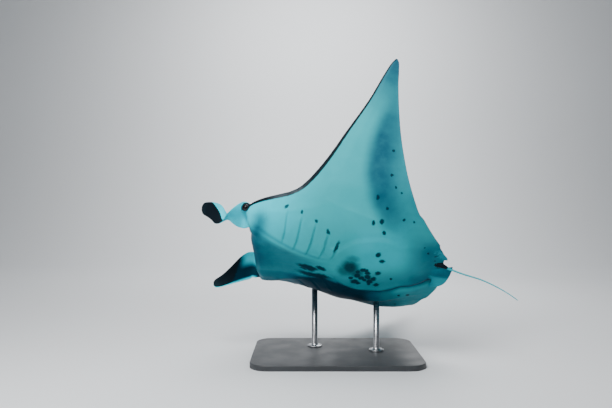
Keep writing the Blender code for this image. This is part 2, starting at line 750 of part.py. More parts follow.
def build():
    for obj in list(bpy.data.objects):
        bpy.data.objects.remove(obj)
    for name in ("manta_ray", "cutters"):
        bpy.context.scene.collection.children.link(bpy.data.collections.new(name))

    # The whole body in one skin, then parted into head and trunk
    left, right = body_lines(1), body_lines(-1)
    whole = loft(right[:0:-1] + left, "body")
    body_cutter = swollen(loose_object(whole))
    forward = Vector(BANK @ np.array((1.0, 0.0, 0.0)))
    parting = Vector(place(-HEAD_CUT, 0.0, 0.0).tolist())
    head = new_object(
        "head", keep_side(whole, parting + forward * NODE_GAP / 2, -forward, "head"), GREY, 0.45
    )
    trunk = new_object(
        "trunk", keep_side(whole, parting - forward * NODE_GAP / 2, forward, "trunk"), GREY, 0.45
    )
    for side, word in ((1, "left"), (-1, "right")):
        lines = wing_lines(side)
        wing = loft(lines if side > 0 else lines[::-1], word + "_pectoral_fin")
        new_object(word + "_pectoral_fin", wing, GREY, 0.45)

    # Gill flaps grow out of the trunk
    flaps = []
    for side in (1, -1):
        for number in range(GILL_COUNT):
            flaps.append(loose_object(gill_flap(number, side)))
    join(trunk, flaps)
    discard(flaps)

    # Eyes in their lids, nostrils and spiracles
    lids, pits, eyes = [], [], []
    for side, word in ((1, "left"), (-1, "right")):
        centre = Vector(swim(*EYES_AT[side], side))
        eye = ball(centre, (EYE_RADIUS, EYE_RADIUS, EYE_RADIUS), word + "_eye", 18, 12)
        eyes.append(new_object(word + "_eye", eye, DARK, 0.1))
        lids.append(loose_object(lid_ring(centre, side, "lids")))
        nostril = Vector(swim(*NOSTRIL_AT, side))
        pits.append(loose_object(ball(nostril, NOSTRIL_RADII, "nostril")))
        spiracle = Vector(skin(SPIRACLE_AT[0], SPIRACLE_AT[1], side, 0.0, belly=False))
        pits.append(loose_object(ball(spiracle, SPIRACLE_RADII, "spiracle")))
    join(head, lids)
    cut(head, pits + [swollen(eye) for eye in eyes])
    head_cutters = [body_cutter] + [swollen(piece) for piece in lids + eyes]
    discard(lids + pits)

    # Cephalic fins meet the head
    fins = []
    for word, stations in (("left", LEFT_CEPHALIC), ("right", RIGHT_CEPHALIC)):
        mesh = ribbon(stations, CEPHALIC_THICKNESS, word + "_cephalic_fin")
        fins.append(new_object(word + "_cephalic_fin", mesh, GREY, 0.45))
        cut(fins[-1], head_cutters)

    # Tail in three lengths
    points = [smooth_curve(list(zip(TAIL_SHARES, column))) for column in zip(*TAIL_LINE)]
    radius = smooth_curve(TAIL_RADII)
    tail = []
    for name, start, end in TAIL_PIECES:
        share = np.linspace(start + NODE_GAP / TAIL_LENGTH, end - NODE_GAP / TAIL_LENGTH, 8)
        mesh = tube(points, radius, share.tolist(), name)
        tail.append(new_object(name, mesh, DARK, 0.5))
    cut(tail[0], [body_cutter])

    # Little fins round the tail's root
    tail_cutter = swollen(tail[0])
    up = Vector(BANK @ np.array((0.0, 0.0, 1.0)))
    sunk = Vector(place(-DORSAL_FRONT, 0.0, 0.012)), Vector(place(-DORSAL_REAR, 0.0, 0.004))
    lean = -forward * DORSAL_HEIGHT * DORSAL_LEAN
    mesh = small_fin(
        sunk, lean, DORSAL_HEIGHT + DORSAL_SUNK, DORSAL_THICKNESS, up, DORSAL_TAPER, DORSAL_FULLNESS,
        "dorsal_fin",
    )
    dorsal = new_object("dorsal_fin", mesh, DARK, 0.5)
    cut(dorsal, [body_cutter, tail_cutter])
    for word, root, points in (
        ("left", LEFT_PELVIC_ROOT, LEFT_PELVIC_POINTS), ("right", RIGHT_PELVIC_ROOT, RIGHT_PELVIC_POINTS)
    ):
        ends = [Vector(place(*end)) for end in root]
        aft = Vector(BANK @ np.array(points)).normalized()
        mesh = small_fin(
            ends, Vector(), PELVIC_LENGTH, PELVIC_THICKNESS, aft, PELVIC_TAPER, PELVIC_FULLNESS,
            word + "_pelvic_fin",
        )
        fin = new_object(word + "_pelvic_fin", mesh, GREY, 0.5)
        cut(fin, [body_cutter, tail_cutter])

    # Stand
    new_object("stand_base", stand_base_mesh(), STAND_GREY, 0.6)
    for word, (a, b) in zip(("front", "rear"), ROD_STATIONS):
        top = Vector(skin(a, abs(b), -1).tolist())
        foot = BASE_SIZE[2] + NODE_GAP
        profile = (
            (0.052, foot), (0.052, foot + 0.008), (0.046, foot + 0.012), (ROD_RADIUS, foot + 0.020),
            (ROD_RADIUS, top.z + 0.05),
        )
        rod = new_object("stand_rod_" + word, lathe(profile, "rod", top), STEEL, 0.3, 1.0)
        cut(rod, [body_cutter])

    for obj in bpy.data.collections["manta_ray"].objects:
        obj.data.shade_smooth()
    discard([o for o in bpy.data.collections["cutters"].objects])


build()
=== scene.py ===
# %% [markdown]
# # A life-size manta ray on a museum stand
# This lesson dresses a plain solid model of a manta ray. The solids are already packed: they carry
# the collision shapes and the true sizes. Here they get one soft skin with gills, lids and folds,
# painted by position, then glossy eyes, a stand, and a quiet studio. Everything is in metres, with
# +Z up and the floor at zero. The ray's head points along -X and its belly faces -Y.

# %% Load the frame
import math

import bmesh
import bpy
import numpy as np
from mathutils import Matrix, Vector, kdtree


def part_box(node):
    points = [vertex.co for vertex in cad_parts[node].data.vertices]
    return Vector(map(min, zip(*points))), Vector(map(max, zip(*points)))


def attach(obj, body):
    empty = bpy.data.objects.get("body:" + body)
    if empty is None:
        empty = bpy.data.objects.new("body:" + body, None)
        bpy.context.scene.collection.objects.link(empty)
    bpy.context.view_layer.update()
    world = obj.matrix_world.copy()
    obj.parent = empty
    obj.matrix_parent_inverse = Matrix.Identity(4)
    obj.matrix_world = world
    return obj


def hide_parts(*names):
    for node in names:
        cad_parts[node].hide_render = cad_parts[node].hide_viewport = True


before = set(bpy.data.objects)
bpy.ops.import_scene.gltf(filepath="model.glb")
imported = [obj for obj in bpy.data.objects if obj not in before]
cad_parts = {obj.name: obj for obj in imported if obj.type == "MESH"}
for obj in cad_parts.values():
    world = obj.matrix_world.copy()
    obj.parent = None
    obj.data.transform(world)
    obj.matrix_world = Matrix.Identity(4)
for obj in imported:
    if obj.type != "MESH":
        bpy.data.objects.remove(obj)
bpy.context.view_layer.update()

# %% [markdown]
# ## A pattern that is drawn flat
# A ray is easiest to draw flat, like a paper pattern, and to bend afterwards. A flat point is
# (a, b, c): a is how far it lies behind the front of the head, b how far it lies to the side along
# the skin, and c its height towards the back. These are the same measures as the solids use, so
# the skin lands on them without any fitting.

# %% Sizes of the pattern
HALF_SPAN = 1.5
WING_ROOT = 0.42
TIP_ROUNDING = 0.012
WING_END = HALF_SPAN - TIP_ROUNDING
print("wings", 2 * HALF_SPAN, "m from tip to tip along the skin")

# %% [markdown]
# ## Curves through a few points
# Outlines and depths are given by a handful of points each, with a smooth curve through them. A
# cubic that keeps level at every peak never overshoots, so a wing edge stays as calm as the real
# one. The soft step, the window made of two of them, and the round hump are what every blend below
# is made of.

# %% Curve helpers
ALMOST_ZERO = 1e-12


def smooth_curve(knots):
    x, y = (np.array(v, float) for v in zip(*knots))
    step = np.diff(y) / np.diff(x)
    slope = np.zeros(len(x))
    same_way = step[1:] * step[:-1] > 0
    mean = 2 * step[1:] * step[:-1] / (step[1:] + step[:-1] + ALMOST_ZERO)
    slope[1:-1][same_way] = mean[same_way]
    slope[0], slope[-1] = step[0], step[-1]

    def value(at):
        at = np.clip(np.asarray(at, float), x[0], x[-1])
        i = np.clip(np.searchsorted(x, at) - 1, 0, len(x) - 2)
        w = x[i + 1] - x[i]
        t = (at - x[i]) / w
        start = y[i] * (1 + 2 * t) * (1 - t) ** 2 + slope[i] * w * t * (1 - t) ** 2
        return start + y[i + 1] * t * t * (3 - 2 * t) - slope[i + 1] * w * t * t * (1 - t)

    return value


def ramp(x, start, end):
    x = np.clip((x - start) / (end - start), 0, 1)
    return x * x * (3 - 2 * x)


def window(x, start, rise_end, fall_start, end):
    return ramp(x, start, rise_end) * (1 - ramp(x, fall_start, end))


def hump(x, centre=0.0, width=1.0):
    return np.exp(-(((x - centre) / width) ** 2))


print("a soft step is", float(ramp(0.25, 0.0, 1.0)), "high a quarter of the way along")

# %% [markdown]
# ## The outline
# Laid flat, the ray is a wide diamond: a swept leading edge, a trailing edge that hollows in
# towards the tips, and a blunt head between them. Such an edge could be pulled into shape point by
# point in Edit Mode. Drawn as a curve, it moves with one number, and each later step can ask how
# far a point lies from it.

# %% Flat outline
leading_edge = smooth_curve(
    ((0.38, 0.130), (0.42, 0.235), (0.445, 0.315), (0.487, 0.388), (0.65, 0.508), (0.90, 0.636),
     (1.15, 0.757), (1.35, 0.829), (1.45, 0.868), (1.49, 0.893))
)
trailing_edge = smooth_curve(
    ((0.0, 1.348), (0.05, 1.352), (0.10, 1.336), (0.15, 1.302), (0.20, 1.270), (0.30, 1.212),
     (0.34, 1.188), (0.365, 1.164), (0.42, 1.138), (0.62, 1.063), (0.94, 0.985), (1.28, 0.936),
     (1.45, 0.921), (1.49, 0.905))
)
head_side_a = smooth_curve(
    ((0.0, 0.032), (0.25, 0.030), (0.42, 0.044), (0.52, 0.034), (0.60, 0.018), (0.70, 0.050),
     (0.80, 0.100), (0.90, 0.155), (0.96, 0.195), (1.0, 0.235))
)
head_side_b = smooth_curve(
    ((0.0, 0.0), (0.25, 0.120), (0.42, 0.200), (0.52, 0.262), (0.60, 0.306), (0.70, 0.345),
     (0.80, 0.373), (0.90, 0.395), (0.96, 0.408), (1.0, 0.42))
)
OUTLINE_POINTS = 400


def edge_points():
    along = np.linspace(0, 1, OUTLINE_POINTS)
    b = np.linspace(WING_ROOT, WING_END, OUTLINE_POINTS)
    head = np.stack([head_side_a(along), head_side_b(along)], 1)
    front = np.concatenate([head, np.stack([leading_edge(b), b], 1)])
    b = np.linspace(0, WING_END, 2 * OUTLINE_POINTS)
    return front, np.stack([trailing_edge(b), b], 1)


FRONT_OUTLINE, REAR_OUTLINE = edge_points()
print("head front to tail root", round(float(REAR_OUTLINE[0, 0]), 3), "m")

# %% [markdown]
# ## How deep the body is
# The body is deep along its middle and thins out into the wings. One pair of curves gives the
# height of the back and the depth of the belly along the middle line, and the others say how much
# of it is left further out. Two views at right angles are enough to draw a body in, which is how
# boat builders do it.

# %% Depth curves
back_height = smooth_curve(
    ((0.0, 0.062), (0.08, 0.090), (0.22, 0.120), (0.42, 0.150), (0.62, 0.146), (0.85, 0.112),
     (1.05, 0.072), (1.20, 0.045), (1.335, 0.030))
)
belly_depth = smooth_curve(
    ((0.0, 0.112), (0.08, 0.128), (0.22, 0.145), (0.42, 0.156), (0.65, 0.150), (0.85, 0.120),
     (1.05, 0.076), (1.20, 0.046), (1.335, 0.030))
)
back_across = smooth_curve(
    ((0.0, 1.0), (0.12, 0.98), (0.22, 0.88), (0.30, 0.74), (0.38, 0.57), (0.46, 0.44), (0.60, 0.30))
)
head_across = smooth_curve(
    ((0.0, 1.0), (0.16, 0.99), (0.24, 0.94), (0.30, 0.84), (0.36, 0.62), (0.46, 0.40))
)
cheek_across = smooth_curve(
    ((0.0, 1.0), (0.14, 0.98), (0.20, 0.88), (0.25, 0.70), (0.30, 0.52), (0.36, 0.40), (0.46, 0.36))
)
belly_across = smooth_curve(
    ((0.0, 1.0), (0.12, 0.98), (0.20, 0.88), (0.30, 0.68), (0.38, 0.50), (0.46, 0.40), (0.60, 0.30))
)
wing_half_depth = smooth_curve(
    ((0.30, 0.078), (0.42, 0.060), (0.60, 0.040), (0.90, 0.025), (1.20, 0.014), (1.40, 0.008),
     (1.49, 0.005))
)
print("deepest back and belly", float(back_height(0.42)), float(belly_depth(0.42)), "m")

# %% [markdown]
# ## Round rims and the throat ridge
# Round its rim the body closes like a lens: blunt at the nose and the leading edge, long and thin
# at the rear. So the depth at a point is the depth from the curves, times how far the point has
# come in from either edge. From each corner of the jaw a low ridge runs back along the inner ends
# of the gills, and it is simply added to the belly.

# %% Depth at any flat point
BODY_TO_WING, HEAD_TO_TRUNK = (0.27, 0.49), (0.10, 0.32)
NOSE_RIM, NOSE_RIM_LOSS, NOSE_RIM_NARROWS = 0.075, 0.030, (0.20, 0.26)
REAR_RIM = 0.16
WING_FRONT_RIM, WING_REAR_RIM = 0.34, 0.70
REAR_FULLNESS = 0.35
TRAILING_EDGE_HALF, LEADING_EDGE_THINS = 0.0022, 0.01
THROAT_RIDGE, THROAT_RIDGE_WIDTH = 0.010, 0.030
THROAT_RIDGE_GROWS, THROAT_RIDGE_ENDS = (0.0, 0.12), (0.42, 0.62)
throat_ridge_out = smooth_curve(
    ((0.02, 0.262), (0.12, 0.231), (0.28, 0.153), (0.44, 0.090), (0.56, 0.048))
)


def distance(a, b, outline):
    return np.hypot(a[:, None] - outline[:, 0], b[:, None] - outline[:, 1]).min(1)


def half_depths(a, b):
    from_front, from_rear = distance(a, b, FRONT_OUTLINE), distance(a, b, REAR_OUTLINE)
    chord = trailing_edge(b) - leading_edge(b)
    wing = ramp(b, *BODY_TO_WING)
    head = 1 - ramp(a, *HEAD_TO_TRUNK)
    nose_rim = NOSE_RIM - NOSE_RIM_LOSS * ramp(b, *NOSE_RIM_NARROWS)
    front_rim = (1 - wing) * nose_rim + wing * WING_FRONT_RIM * chord
    rear_rim = (1 - wing) * REAR_RIM + wing * WING_REAR_RIM * chord
    near_front = np.clip(from_front / front_rim, 0, 1)
    near_front = np.sqrt(np.maximum(0, 1 - (1 - near_front) ** 2))
    near_rear = np.clip(from_rear / rear_rim, 0, 1)
    near_rear = near_rear * (1 + REAR_FULLNESS - REAR_FULLNESS * near_rear)
    back = back_height(a) * (back_across(b) * (1 - head) + head_across(b) * head)
    belly = belly_depth(a) * (belly_across(b) * (1 - head) + cheek_across(b) * head)
    ridge = hump((b - throat_ridge_out(a)) / THROAT_RIDGE_WIDTH) * ramp(a, *THROAT_RIDGE_GROWS)
    belly = belly + THROAT_RIDGE * ridge * (1 - ramp(a, *THROAT_RIDGE_ENDS))
    thinnest = TRAILING_EDGE_HALF * np.clip(from_front / LEADING_EDGE_THINS, 0, 1)
    depths = []
    for body in (back, belly):
        depth = (1 - wing) * body + wing * wing_half_depth(b)
        depths.append(np.maximum(depth * near_front * near_rear, thinnest))
    return depths[0], depths[1], from_front, from_rear


thickest = half_depths(np.array([0.42]), np.array([0.0]))
print("body", round(float(thickest[0][0] + thickest[1][0]), 3), "m thick where it is deepest")

# %% [markdown]
# ## The middle surface
# Back and belly are measured from a middle surface between them. In a wing beat that surface isn't
# flat. The jaw hangs a little, the rear of each wing lags behind its front, the right shoulder is
# lifted, and the rear edge ripples. All of these are small shifts up or down on the flat pattern,
# each fading out before it meets the next.

# %% Middle surface
MOUTH_LEVEL, JAW_ENDS, JAW_ENDS_OUT = -0.035, (0.0, 0.30), (0.22, 0.36)
LAG_STARTS, LAG_LENGTH, LAG_ACROSS = 0.5, 0.8, (0.15, 0.65, 0.75, 1.35)
LEFT_LAG = 0.035
RIGHT_LAG, RIGHT_LAG_LOSS = 0.064, 0.6
RIGHT_LAG_GROWS, RIGHT_LAG_EASES = (0.60, 0.92), (0.98, 1.20)
RIGHT_SHOULDER_LIFT, RIGHT_SHOULDER_ENDS = 0.070, (0.28, 0.66)
RIGHT_SHOULDER_ACROSS = (0.12, 0.36, 0.55, 0.95)
EDGE_FRILL, FRILL_WAVES, FRILL_GROWS = 0.006, 34.0, (0.55, 1.0)


def middle(a, b, side):
    jaw = MOUTH_LEVEL * (1 - ramp(a, *JAW_ENDS)) * (1 - ramp(b, *JAW_ENDS_OUT))
    share = np.clip((a - LAG_STARTS) / LAG_LENGTH, 0, 1)
    frill = EDGE_FRILL * np.sin(FRILL_WAVES * b) * ramp(share, *FRILL_GROWS)
    if side > 0:
        return jaw - (LEFT_LAG * share**2 - frill) * window(b, *LAG_ACROSS)
    lag = RIGHT_LAG * ramp(a, *RIGHT_LAG_GROWS) * (1 - RIGHT_LAG_LOSS * ramp(a, *RIGHT_LAG_EASES))
    lift = RIGHT_SHOULDER_LIFT * (1 - ramp(a, *RIGHT_SHOULDER_ENDS))
    lift = lift * window(b, *RIGHT_SHOULDER_ACROSS)
    return jaw + lift - (lag - frill) * window(b, *LAG_ACROSS)


print("rear of each wing sinks", [round(float(-middle(1.0, 0.7, side)), 3) for side in (1, -1)], "m")

# %% [markdown]
# ## The bend of the wings
# Each wing rises from the shoulder and steepens to its tip. The middle surface is bent along a
# curve of growing angle, found by adding up small steps, so the skin keeps its length, as real
# skin does. A Simple Deform modifier would bend both wings alike, while here each has an angle of
# its own.

# %% Bend of each wing
BEND = (0.15, 0.62)
WING_RISE = {1: (56.0, 66.0), -1: (52.0, 62.0)}
BEND_STEPS = 400


def add_up(values, steps):
    return np.concatenate([[0], np.cumsum((values[1:] + values[:-1]) / 2 * steps)])


def wing_curve(rise):
    halfway, tip = (math.radians(v) for v in rise)
    b = np.linspace(0, HALF_SPAN, BEND_STEPS)
    outer = np.clip((b - BEND[1]) / (HALF_SPAN - BEND[1]), 0, 1)
    angle = halfway * ramp(b, *BEND) + (tip - halfway) * outer**2
    steps = np.diff(b)
    return b, add_up(np.cos(angle), steps), add_up(np.sin(angle), steps), angle


WING_CURVES = {side: wing_curve(rise) for side, rise in WING_RISE.items()}
print("tips rise", [round(float(curve[2][-1]), 2) for curve in WING_CURVES.values()], "m")

# %% [markdown]
# ## Banking over the stand
# The whole ray is then turned by three angles, as it banks to show its belly to the viewer. Every
# point goes through the one function that does this, and its thickness is set off square to the
# bent surface. Nothing needs an object transform, which the export would have to carry along.

# %% Swimming pose
ROLL, YAW, PITCH = (math.radians(v) for v in (37.7, 13.9, 4.8))
HEAD_FRONT = (-0.60, 0.02, 0.78)
RIGHT_REAR_STRETCH, STRETCH_ALONG = 0.042, (0.7, 1.2)
STRETCH_ACROSS = (0.08, 0.25, 0.42, 0.67)
LEVEL = Matrix((
    (-1, 0, 0), (0, -math.sin(ROLL), math.cos(ROLL)), (0, math.cos(ROLL), math.sin(ROLL))
))
BANK = np.array(Matrix.Rotation(PITCH, 3, "Y") @ Matrix.Rotation(-YAW, 3, "Z") @ LEVEL)


def place(forward, left, up):
    own = np.stack(np.broadcast_arrays(forward, left, up), -1).astype(float)
    return own @ BANK.T + np.array(HEAD_FRONT)


def swim(a, b, c, side):
    a = np.asarray(a, float)
    if side < 0:
        a = a + RIGHT_REAR_STRETCH * window(b, *STRETCH_ACROSS) * ramp(a, *STRETCH_ALONG)
    reach, across, up, angle = WING_CURVES[side]
    turn = np.interp(b, reach, angle)
    left = np.interp(b, reach, across) - np.sin(turn) * c
    rise = np.interp(b, reach, up) + np.cos(turn) * c
    return place(-a, side * left, rise)


def own_axis(forward, left, up):
    return Vector((BANK @ np.array((forward, left, up))).tolist())


def vector(point):
    return Vector(np.asarray(point).tolist())


print("wing tips", [[round(float(v), 2) for v in swim(0.9, 1.48, 0.0, side)] for side in (1, -1)])

# %% [markdown]
# ## Gills
# A manta has five gill slits on each side of its belly. The skin over each slit is a flap: it
# rises slowly, ends in a free edge, and drops into the slit. Cutting ten real slits would leave
# ragged edges, so the flaps are a height field on the flat pattern: a long rise, a sharp drop, a
# groove. It becomes geometry, so it catches light from any side.

# %% Gill flaps
GILL_SLITS = (
    (0.322, 0.350, 0.285, 0.160), (0.424, 0.334, 0.360, 0.118), (0.516, 0.302, 0.440, 0.084),
    (0.596, 0.250, 0.526, 0.060), (0.650, 0.176, 0.604, 0.062),
)
GILL_BOW = 0.008
GILL_FLAP_CHORD = (0.060, 0.085, 0.080, 0.078, 0.062)
GILL_FLAP_LIFT, GILL_FLAP_HOLLOW = 0.0062, 1.7
GILL_GROOVE = 0.0034
GILL_DROP, GILL_RECOVERY = 0.008, 0.030
GILL_ENDS_FADE = (-0.02, 0.25, 0.80, 1.02)
RIGHT_GILL_SHARE = 0.55


def gill_relief(a, b, side):
    relief = np.zeros_like(a)
    for chord, (outer_a, outer_b, inner_a, inner_b) in zip(GILL_FLAP_CHORD, GILL_SLITS):
        across = (b - inner_b) / (outer_b - inner_b)
        bow = GILL_BOW * np.sin(np.pi * np.clip(across, 0, 1))
        behind = a - (inner_a + (outer_a - inner_a) * across + bow)
        rise = np.clip(1 + behind / chord, 0, 1) ** GILL_FLAP_HOLLOW * GILL_FLAP_LIFT
        drop = GILL_FLAP_LIFT - (GILL_FLAP_LIFT + GILL_GROOVE) * ramp(behind, 0, GILL_DROP)
        recover = -GILL_GROOVE * (1 - ramp(behind, GILL_DROP, GILL_RECOVERY))
        shape = np.where(behind < 0, rise, np.where(behind < GILL_DROP, drop, recover))
        relief += shape * window(across, *GILL_ENDS_FADE)
    return relief * (1 if side > 0 else RIGHT_GILL_SHARE)


print("gill slits", 2 * len(GILL_SLITS))

# %% [markdown]
# ## Loose skin
# Loose skin never folds evenly, so each set of wrinkles is a sum of two waves of unlike lengths,
# which never fall into step. A set has its height, its wave length, the way that its waves run,
# how much they sway, and the window in a and in b where it lies.

# %% Wrinkles
EVERYWHERE_BELOW, EVERYWHERE_ABOVE = (-2.0, -1.0), (3.0, 4.0)
WRINKLES = {
    "neck": (0.0016, 0.021, (1.0, 0.35), (0.0, 0.0),
             (0.05, 0.09, 0.17, 0.24), (0.20, 0.26, 0.33, 0.36)),
    "throat": (0.0010, 0.026, (0.0, 1.0), (0.012, 9.0),
               (0.08, 0.16, 0.50, 0.75), (*EVERYWHERE_BELOW, 0.03, 0.20)),
    "wing muscle": (0.0006, 0.085, (0.07, 1.0), (0.02, 7.0),
                    (0.45, 0.65, 0.95, 1.15), (0.30, 0.45, 0.70, 1.10)),
    "rear fan": (0.0005, 0.047, (0.05, 1.0), (0.0, 0.0),
                 (0.92, 1.12, *EVERYWHERE_ABOVE), (0.10, 0.22, 0.45, 0.70)),
}
LONG_WAVE, SHORT_WAVE, WAVE_RATIO, WAVE_SHIFT = 0.6, 0.4, 1.618, 1.3


def waves(phase, length):
    turn = phase * 2 * np.pi / length
    return LONG_WAVE * np.sin(turn) + SHORT_WAVE * np.sin(turn / WAVE_RATIO + WAVE_SHIFT)


def wrinkles(a, b):
    total = np.zeros_like(a)
    for height, length, way, (sway, rate), along, across in WRINKLES.values():
        phase = way[0] * a + way[1] * b + sway * np.sin(rate * a)
        total += height * waves(phase, length) * window(a, *along) * window(b, *across)
    return total


print("sets of wrinkles", len(WRINKLES))

# %% [markdown]
# ## The crease beside the belly
# On the right the full belly ends in a crease, where the fin's root begins. It is drawn as a curve
# on the flat pattern, and how far a point lies outside it sets how deep the skin falls. A low roll
# runs along its inner side, as on any fold of soft skin.

# %% Crease
RIGHT_CREASE = smooth_curve(
    ((0.55, 0.090), (0.65, 0.140), (0.73, 0.196), (0.79, 0.218), (0.91, 0.226), (0.97, 0.214),
     (1.04, 0.188), (1.10, 0.184), (1.17, 0.168), (1.24, 0.130), (1.33, 0.090))
)
CREASE_WIDTH = 0.017
CREASE_DEPTH = {1: 0.002, -1: 0.013}
CREASE_ALONG = (0.58, 0.78, 1.20, 1.32)
CREASE_BOTTOM, ROLL_TOP, ROLL_HEIGHT = 0.5, -1.4, 0.40


def folds(a, b, side):
    off = (b - RIGHT_CREASE(a)) / CREASE_WIDTH
    depth = CREASE_DEPTH[side] * window(a, *CREASE_ALONG)
    crease = ROLL_HEIGHT * depth * hump(off, ROLL_TOP) - depth * hump(off, CREASE_BOTTOM)
    return wrinkles(a, b) + crease


print("crease", CREASE_DEPTH[-1], "m deep on the right")

# %% [markdown]
# ## Where the paint changes
# Three numbers go with every point of the skin. Tone is 0 on the white belly and 1 on the black
# back, and the black laps a little over the leading edge. Shade is painted shade: a wide band down
# the rear half of each wing, which is partly the skin's own grey, the throat, the flank and the
# tail root. The third number is painted light, where the belly is painted lighter as if lit, at the
# head and in the middle. Numbers on the points follow the skin wherever it bends, which an image
# would only do with an unwrapped map.

# %% Tone
BLACK_LAP = smooth_curve(
    ((0.0, -0.02), (0.27, -0.02), (0.31, 0.006), (0.36, 0.016), (0.42, 0.026), (0.55, 0.034),
     (0.80, 0.026), (1.10, 0.018), (1.45, 0.010))
)
BLACK_BORDER = 0.010


def body_tone(from_front, b, over):
    belly_tone = 0.5 + 0.5 * (BLACK_LAP(b) - from_front) / BLACK_BORDER
    return np.where(over, 1.0, np.clip(belly_tone, 0, 1))


print("black laps", float(BLACK_LAP(0.55)), "m over the leading edge")

# %% [markdown]
# ## Painted shade that overlaps
# Where two layers of painted shade overlap, the second darkens only what the first has left clear.
# Adding them would burn out to black, so they are joined in that way. The first lie on both sides:
# the band along the rear of the wing, partly grey skin and partly painted shade, and the painted
# shade at the root of the tail.

# %% Painted shade on both sides
BAND_START = smooth_curve(
    ((0.20, 1.02), (0.35, 0.900), (0.41, 0.862), (0.49, 0.832), (0.62, 0.800), (0.76, 0.800),
     (0.91, 0.826), (1.06, 0.858), (1.25, 0.885), (1.45, 0.895))
)
BAND_STRENGTH = smooth_curve(
    ((0.16, 0.0), (0.26, 0.30), (0.35, 0.66), (0.44, 0.80), (0.75, 0.86), (0.94, 0.82), (1.08, 0.56),
     (1.22, 0.28))
)
BAND_SOFTNESS = (-0.045, 0.060)
BAND_FADES, BAND_LOSS = (0.09, 0.25), 0.46
TAIL_ROOT_PAINTED_SHADE, TAIL_ROOT_SHADE_GROWS, TAIL_ROOT_SHADE_ENDS = 0.74, (1.02, 1.27), (0.10, 0.26)


def together(*shade_layers):
    clear = 1.0
    for shade_layer in shade_layers:
        clear = clear * (1 - np.clip(shade_layer, 0, 1))
    return 1 - clear


def beyond(x, start, reach):
    return ramp(x, start + reach[0], start + reach[1])


# The wing band is partly the skin's own grey and partly painted shade.
def wing_band(a, b):
    rises, fades = beyond(a, BAND_START(b), BAND_SOFTNESS), beyond(a, BAND_START(b), BAND_FADES)
    return BAND_STRENGTH(b) * rises * (1 - BAND_LOSS * fades)


# Painted shade at the root of the tail, growing towards the rear.
def tail_root_shade(a, b):
    return TAIL_ROOT_PAINTED_SHADE * ramp(a, *TAIL_ROOT_SHADE_GROWS) * (1 - ramp(b, *TAIL_ROOT_SHADE_ENDS))


print("wing band", round(float(wing_band(1.0, 0.75)), 2), "strong at its middle")

# %% [markdown]
# ## Painted shade on the left
# The left half faces the light. Its throat gets painted shade up to the ridge, which stays a light
# line of painted highlight, with the painted shade of a soft fold beyond it. Patches of painted
# shade lie at the corner of the jaw and on the cheek, and the wing's tip is darkened by painted shade.

# %% Left painted shade
THROAT_PAINTED_SHADE = smooth_curve(
    ((0.02, 0.82), (0.10, 0.86), (0.16, 0.72), (0.34, 0.62), (0.46, 0.42), (0.62, 0.0))
)
# A painted highlight along the throat ridge and the painted shade of a fold beside it.
THROAT_SHADE_EDGE, THROAT_RIDGE_ALONG = (-0.055, 0.030), (0.06, 0.14, 0.48, 0.62)
RIDGE_PAINTED_HIGHLIGHT, RIDGE_HIGHLIGHT_WIDTH = 0.55, 0.009
RIDGE_FOLD_SHADE, RIDGE_FOLD_OUT, RIDGE_FOLD_WIDTH = 0.40, 0.020, 0.010
# Patches of painted shade at the jaw's corner and on the cheek.
JAW_PAINTED_SHADE = (0.72, (0.125, 0.055), (0.215, 0.045))
CHEEK_PAINTED_SHADE = (0.66, (0.142, 0.050), (0.272, 0.050))
JAW_SHARE = 0.5
TIP_PAINTED_SHADE, TIP_SHADE_GROWS = 0.82, (0.92, 1.42)


def shade_patch(a, b, strength, along, across):
    return strength * hump(a, *along) * hump(b, *across)


# Painted shade on the left half, with a painted highlight on the throat ridge.
def left_shade(a, b):
    off_ridge = b - throat_ridge_out(a)
    on_ridge = window(a, *THROAT_RIDGE_ALONG)
    throat = THROAT_PAINTED_SHADE(a) * (1 - ramp(off_ridge, *THROAT_SHADE_EDGE))
    throat = throat * (1 - RIDGE_PAINTED_HIGHLIGHT * hump(off_ridge, 0.0, RIDGE_HIGHLIGHT_WIDTH) * on_ridge)
    fold_shade = RIDGE_FOLD_SHADE * hump(off_ridge, RIDGE_FOLD_OUT, RIDGE_FOLD_WIDTH) * on_ridge
    jaw, cheek = shade_patch(a, b, *JAW_PAINTED_SHADE), shade_patch(a, b, *CHEEK_PAINTED_SHADE)
    tip = TIP_PAINTED_SHADE * ramp(b, *TIP_SHADE_GROWS)
    throat = throat * (1 - JAW_SHARE * jaw)
    return together(wing_band(a, b), throat, fold_shade, jaw, cheek, tail_root_shade(a, b), tip)


print("left throat", round(float(left_shade(np.array([0.3]), np.array([0.05]))[0]), 2), "grey")

# %% [markdown]
# ## Painted shade on the right
# The right half turns away, and the ray's own shade on it is painted. A dark line of painted shade
# follows the crease, the flank beyond it gets deep painted shade, and lighter painted shade lies on
# the belly beside it. Towards the rear a painted highlight lies on a strip just outside the crease.

# %% Right painted shade
FLANK_PAINTED_SHADE = smooth_curve(
    ((0.10, 0.72), (0.28, 0.84), (0.44, 0.96), (0.78, 0.98), (0.86, 0.88), (0.95, 0.60),
     (1.05, 0.32), (1.12, 0.44), (1.30, 0.30))
)
FLANK_FADES, FLANK_LOSS = (0.36, 0.60), 0.5
BESIDE_CREASE_PAINTED_SHADE = smooth_curve(
    ((0.10, 0.70), (0.40, 0.78), (0.60, 0.80), (0.70, 0.50), (0.95, 0.46), (1.05, 0.54),
     (1.15, 0.68), (1.30, 0.40))
)
BESIDE_CREASE_GROWS = (0.0, 0.16)
CREASE_EDGE = (-0.015, 0.020)
CREASE_LINE_SHADE, CREASE_LINE_WIDTH, CREASE_LINE_ALONG = 0.92, 0.015, (0.60, 0.70, 1.24, 1.34)
BEYOND_CREASE_HIGHLIGHT, BEYOND_CREASE_HIGHLIGHT_OUT, BEYOND_CREASE_HIGHLIGHT_ALONG = 0.35, 1.9, (0.96, 1.02, 1.22, 1.30)
RIGHT_THROAT_ENDS = (0.02, 0.16)
RIGHT_BAND_SHARE = 0.5


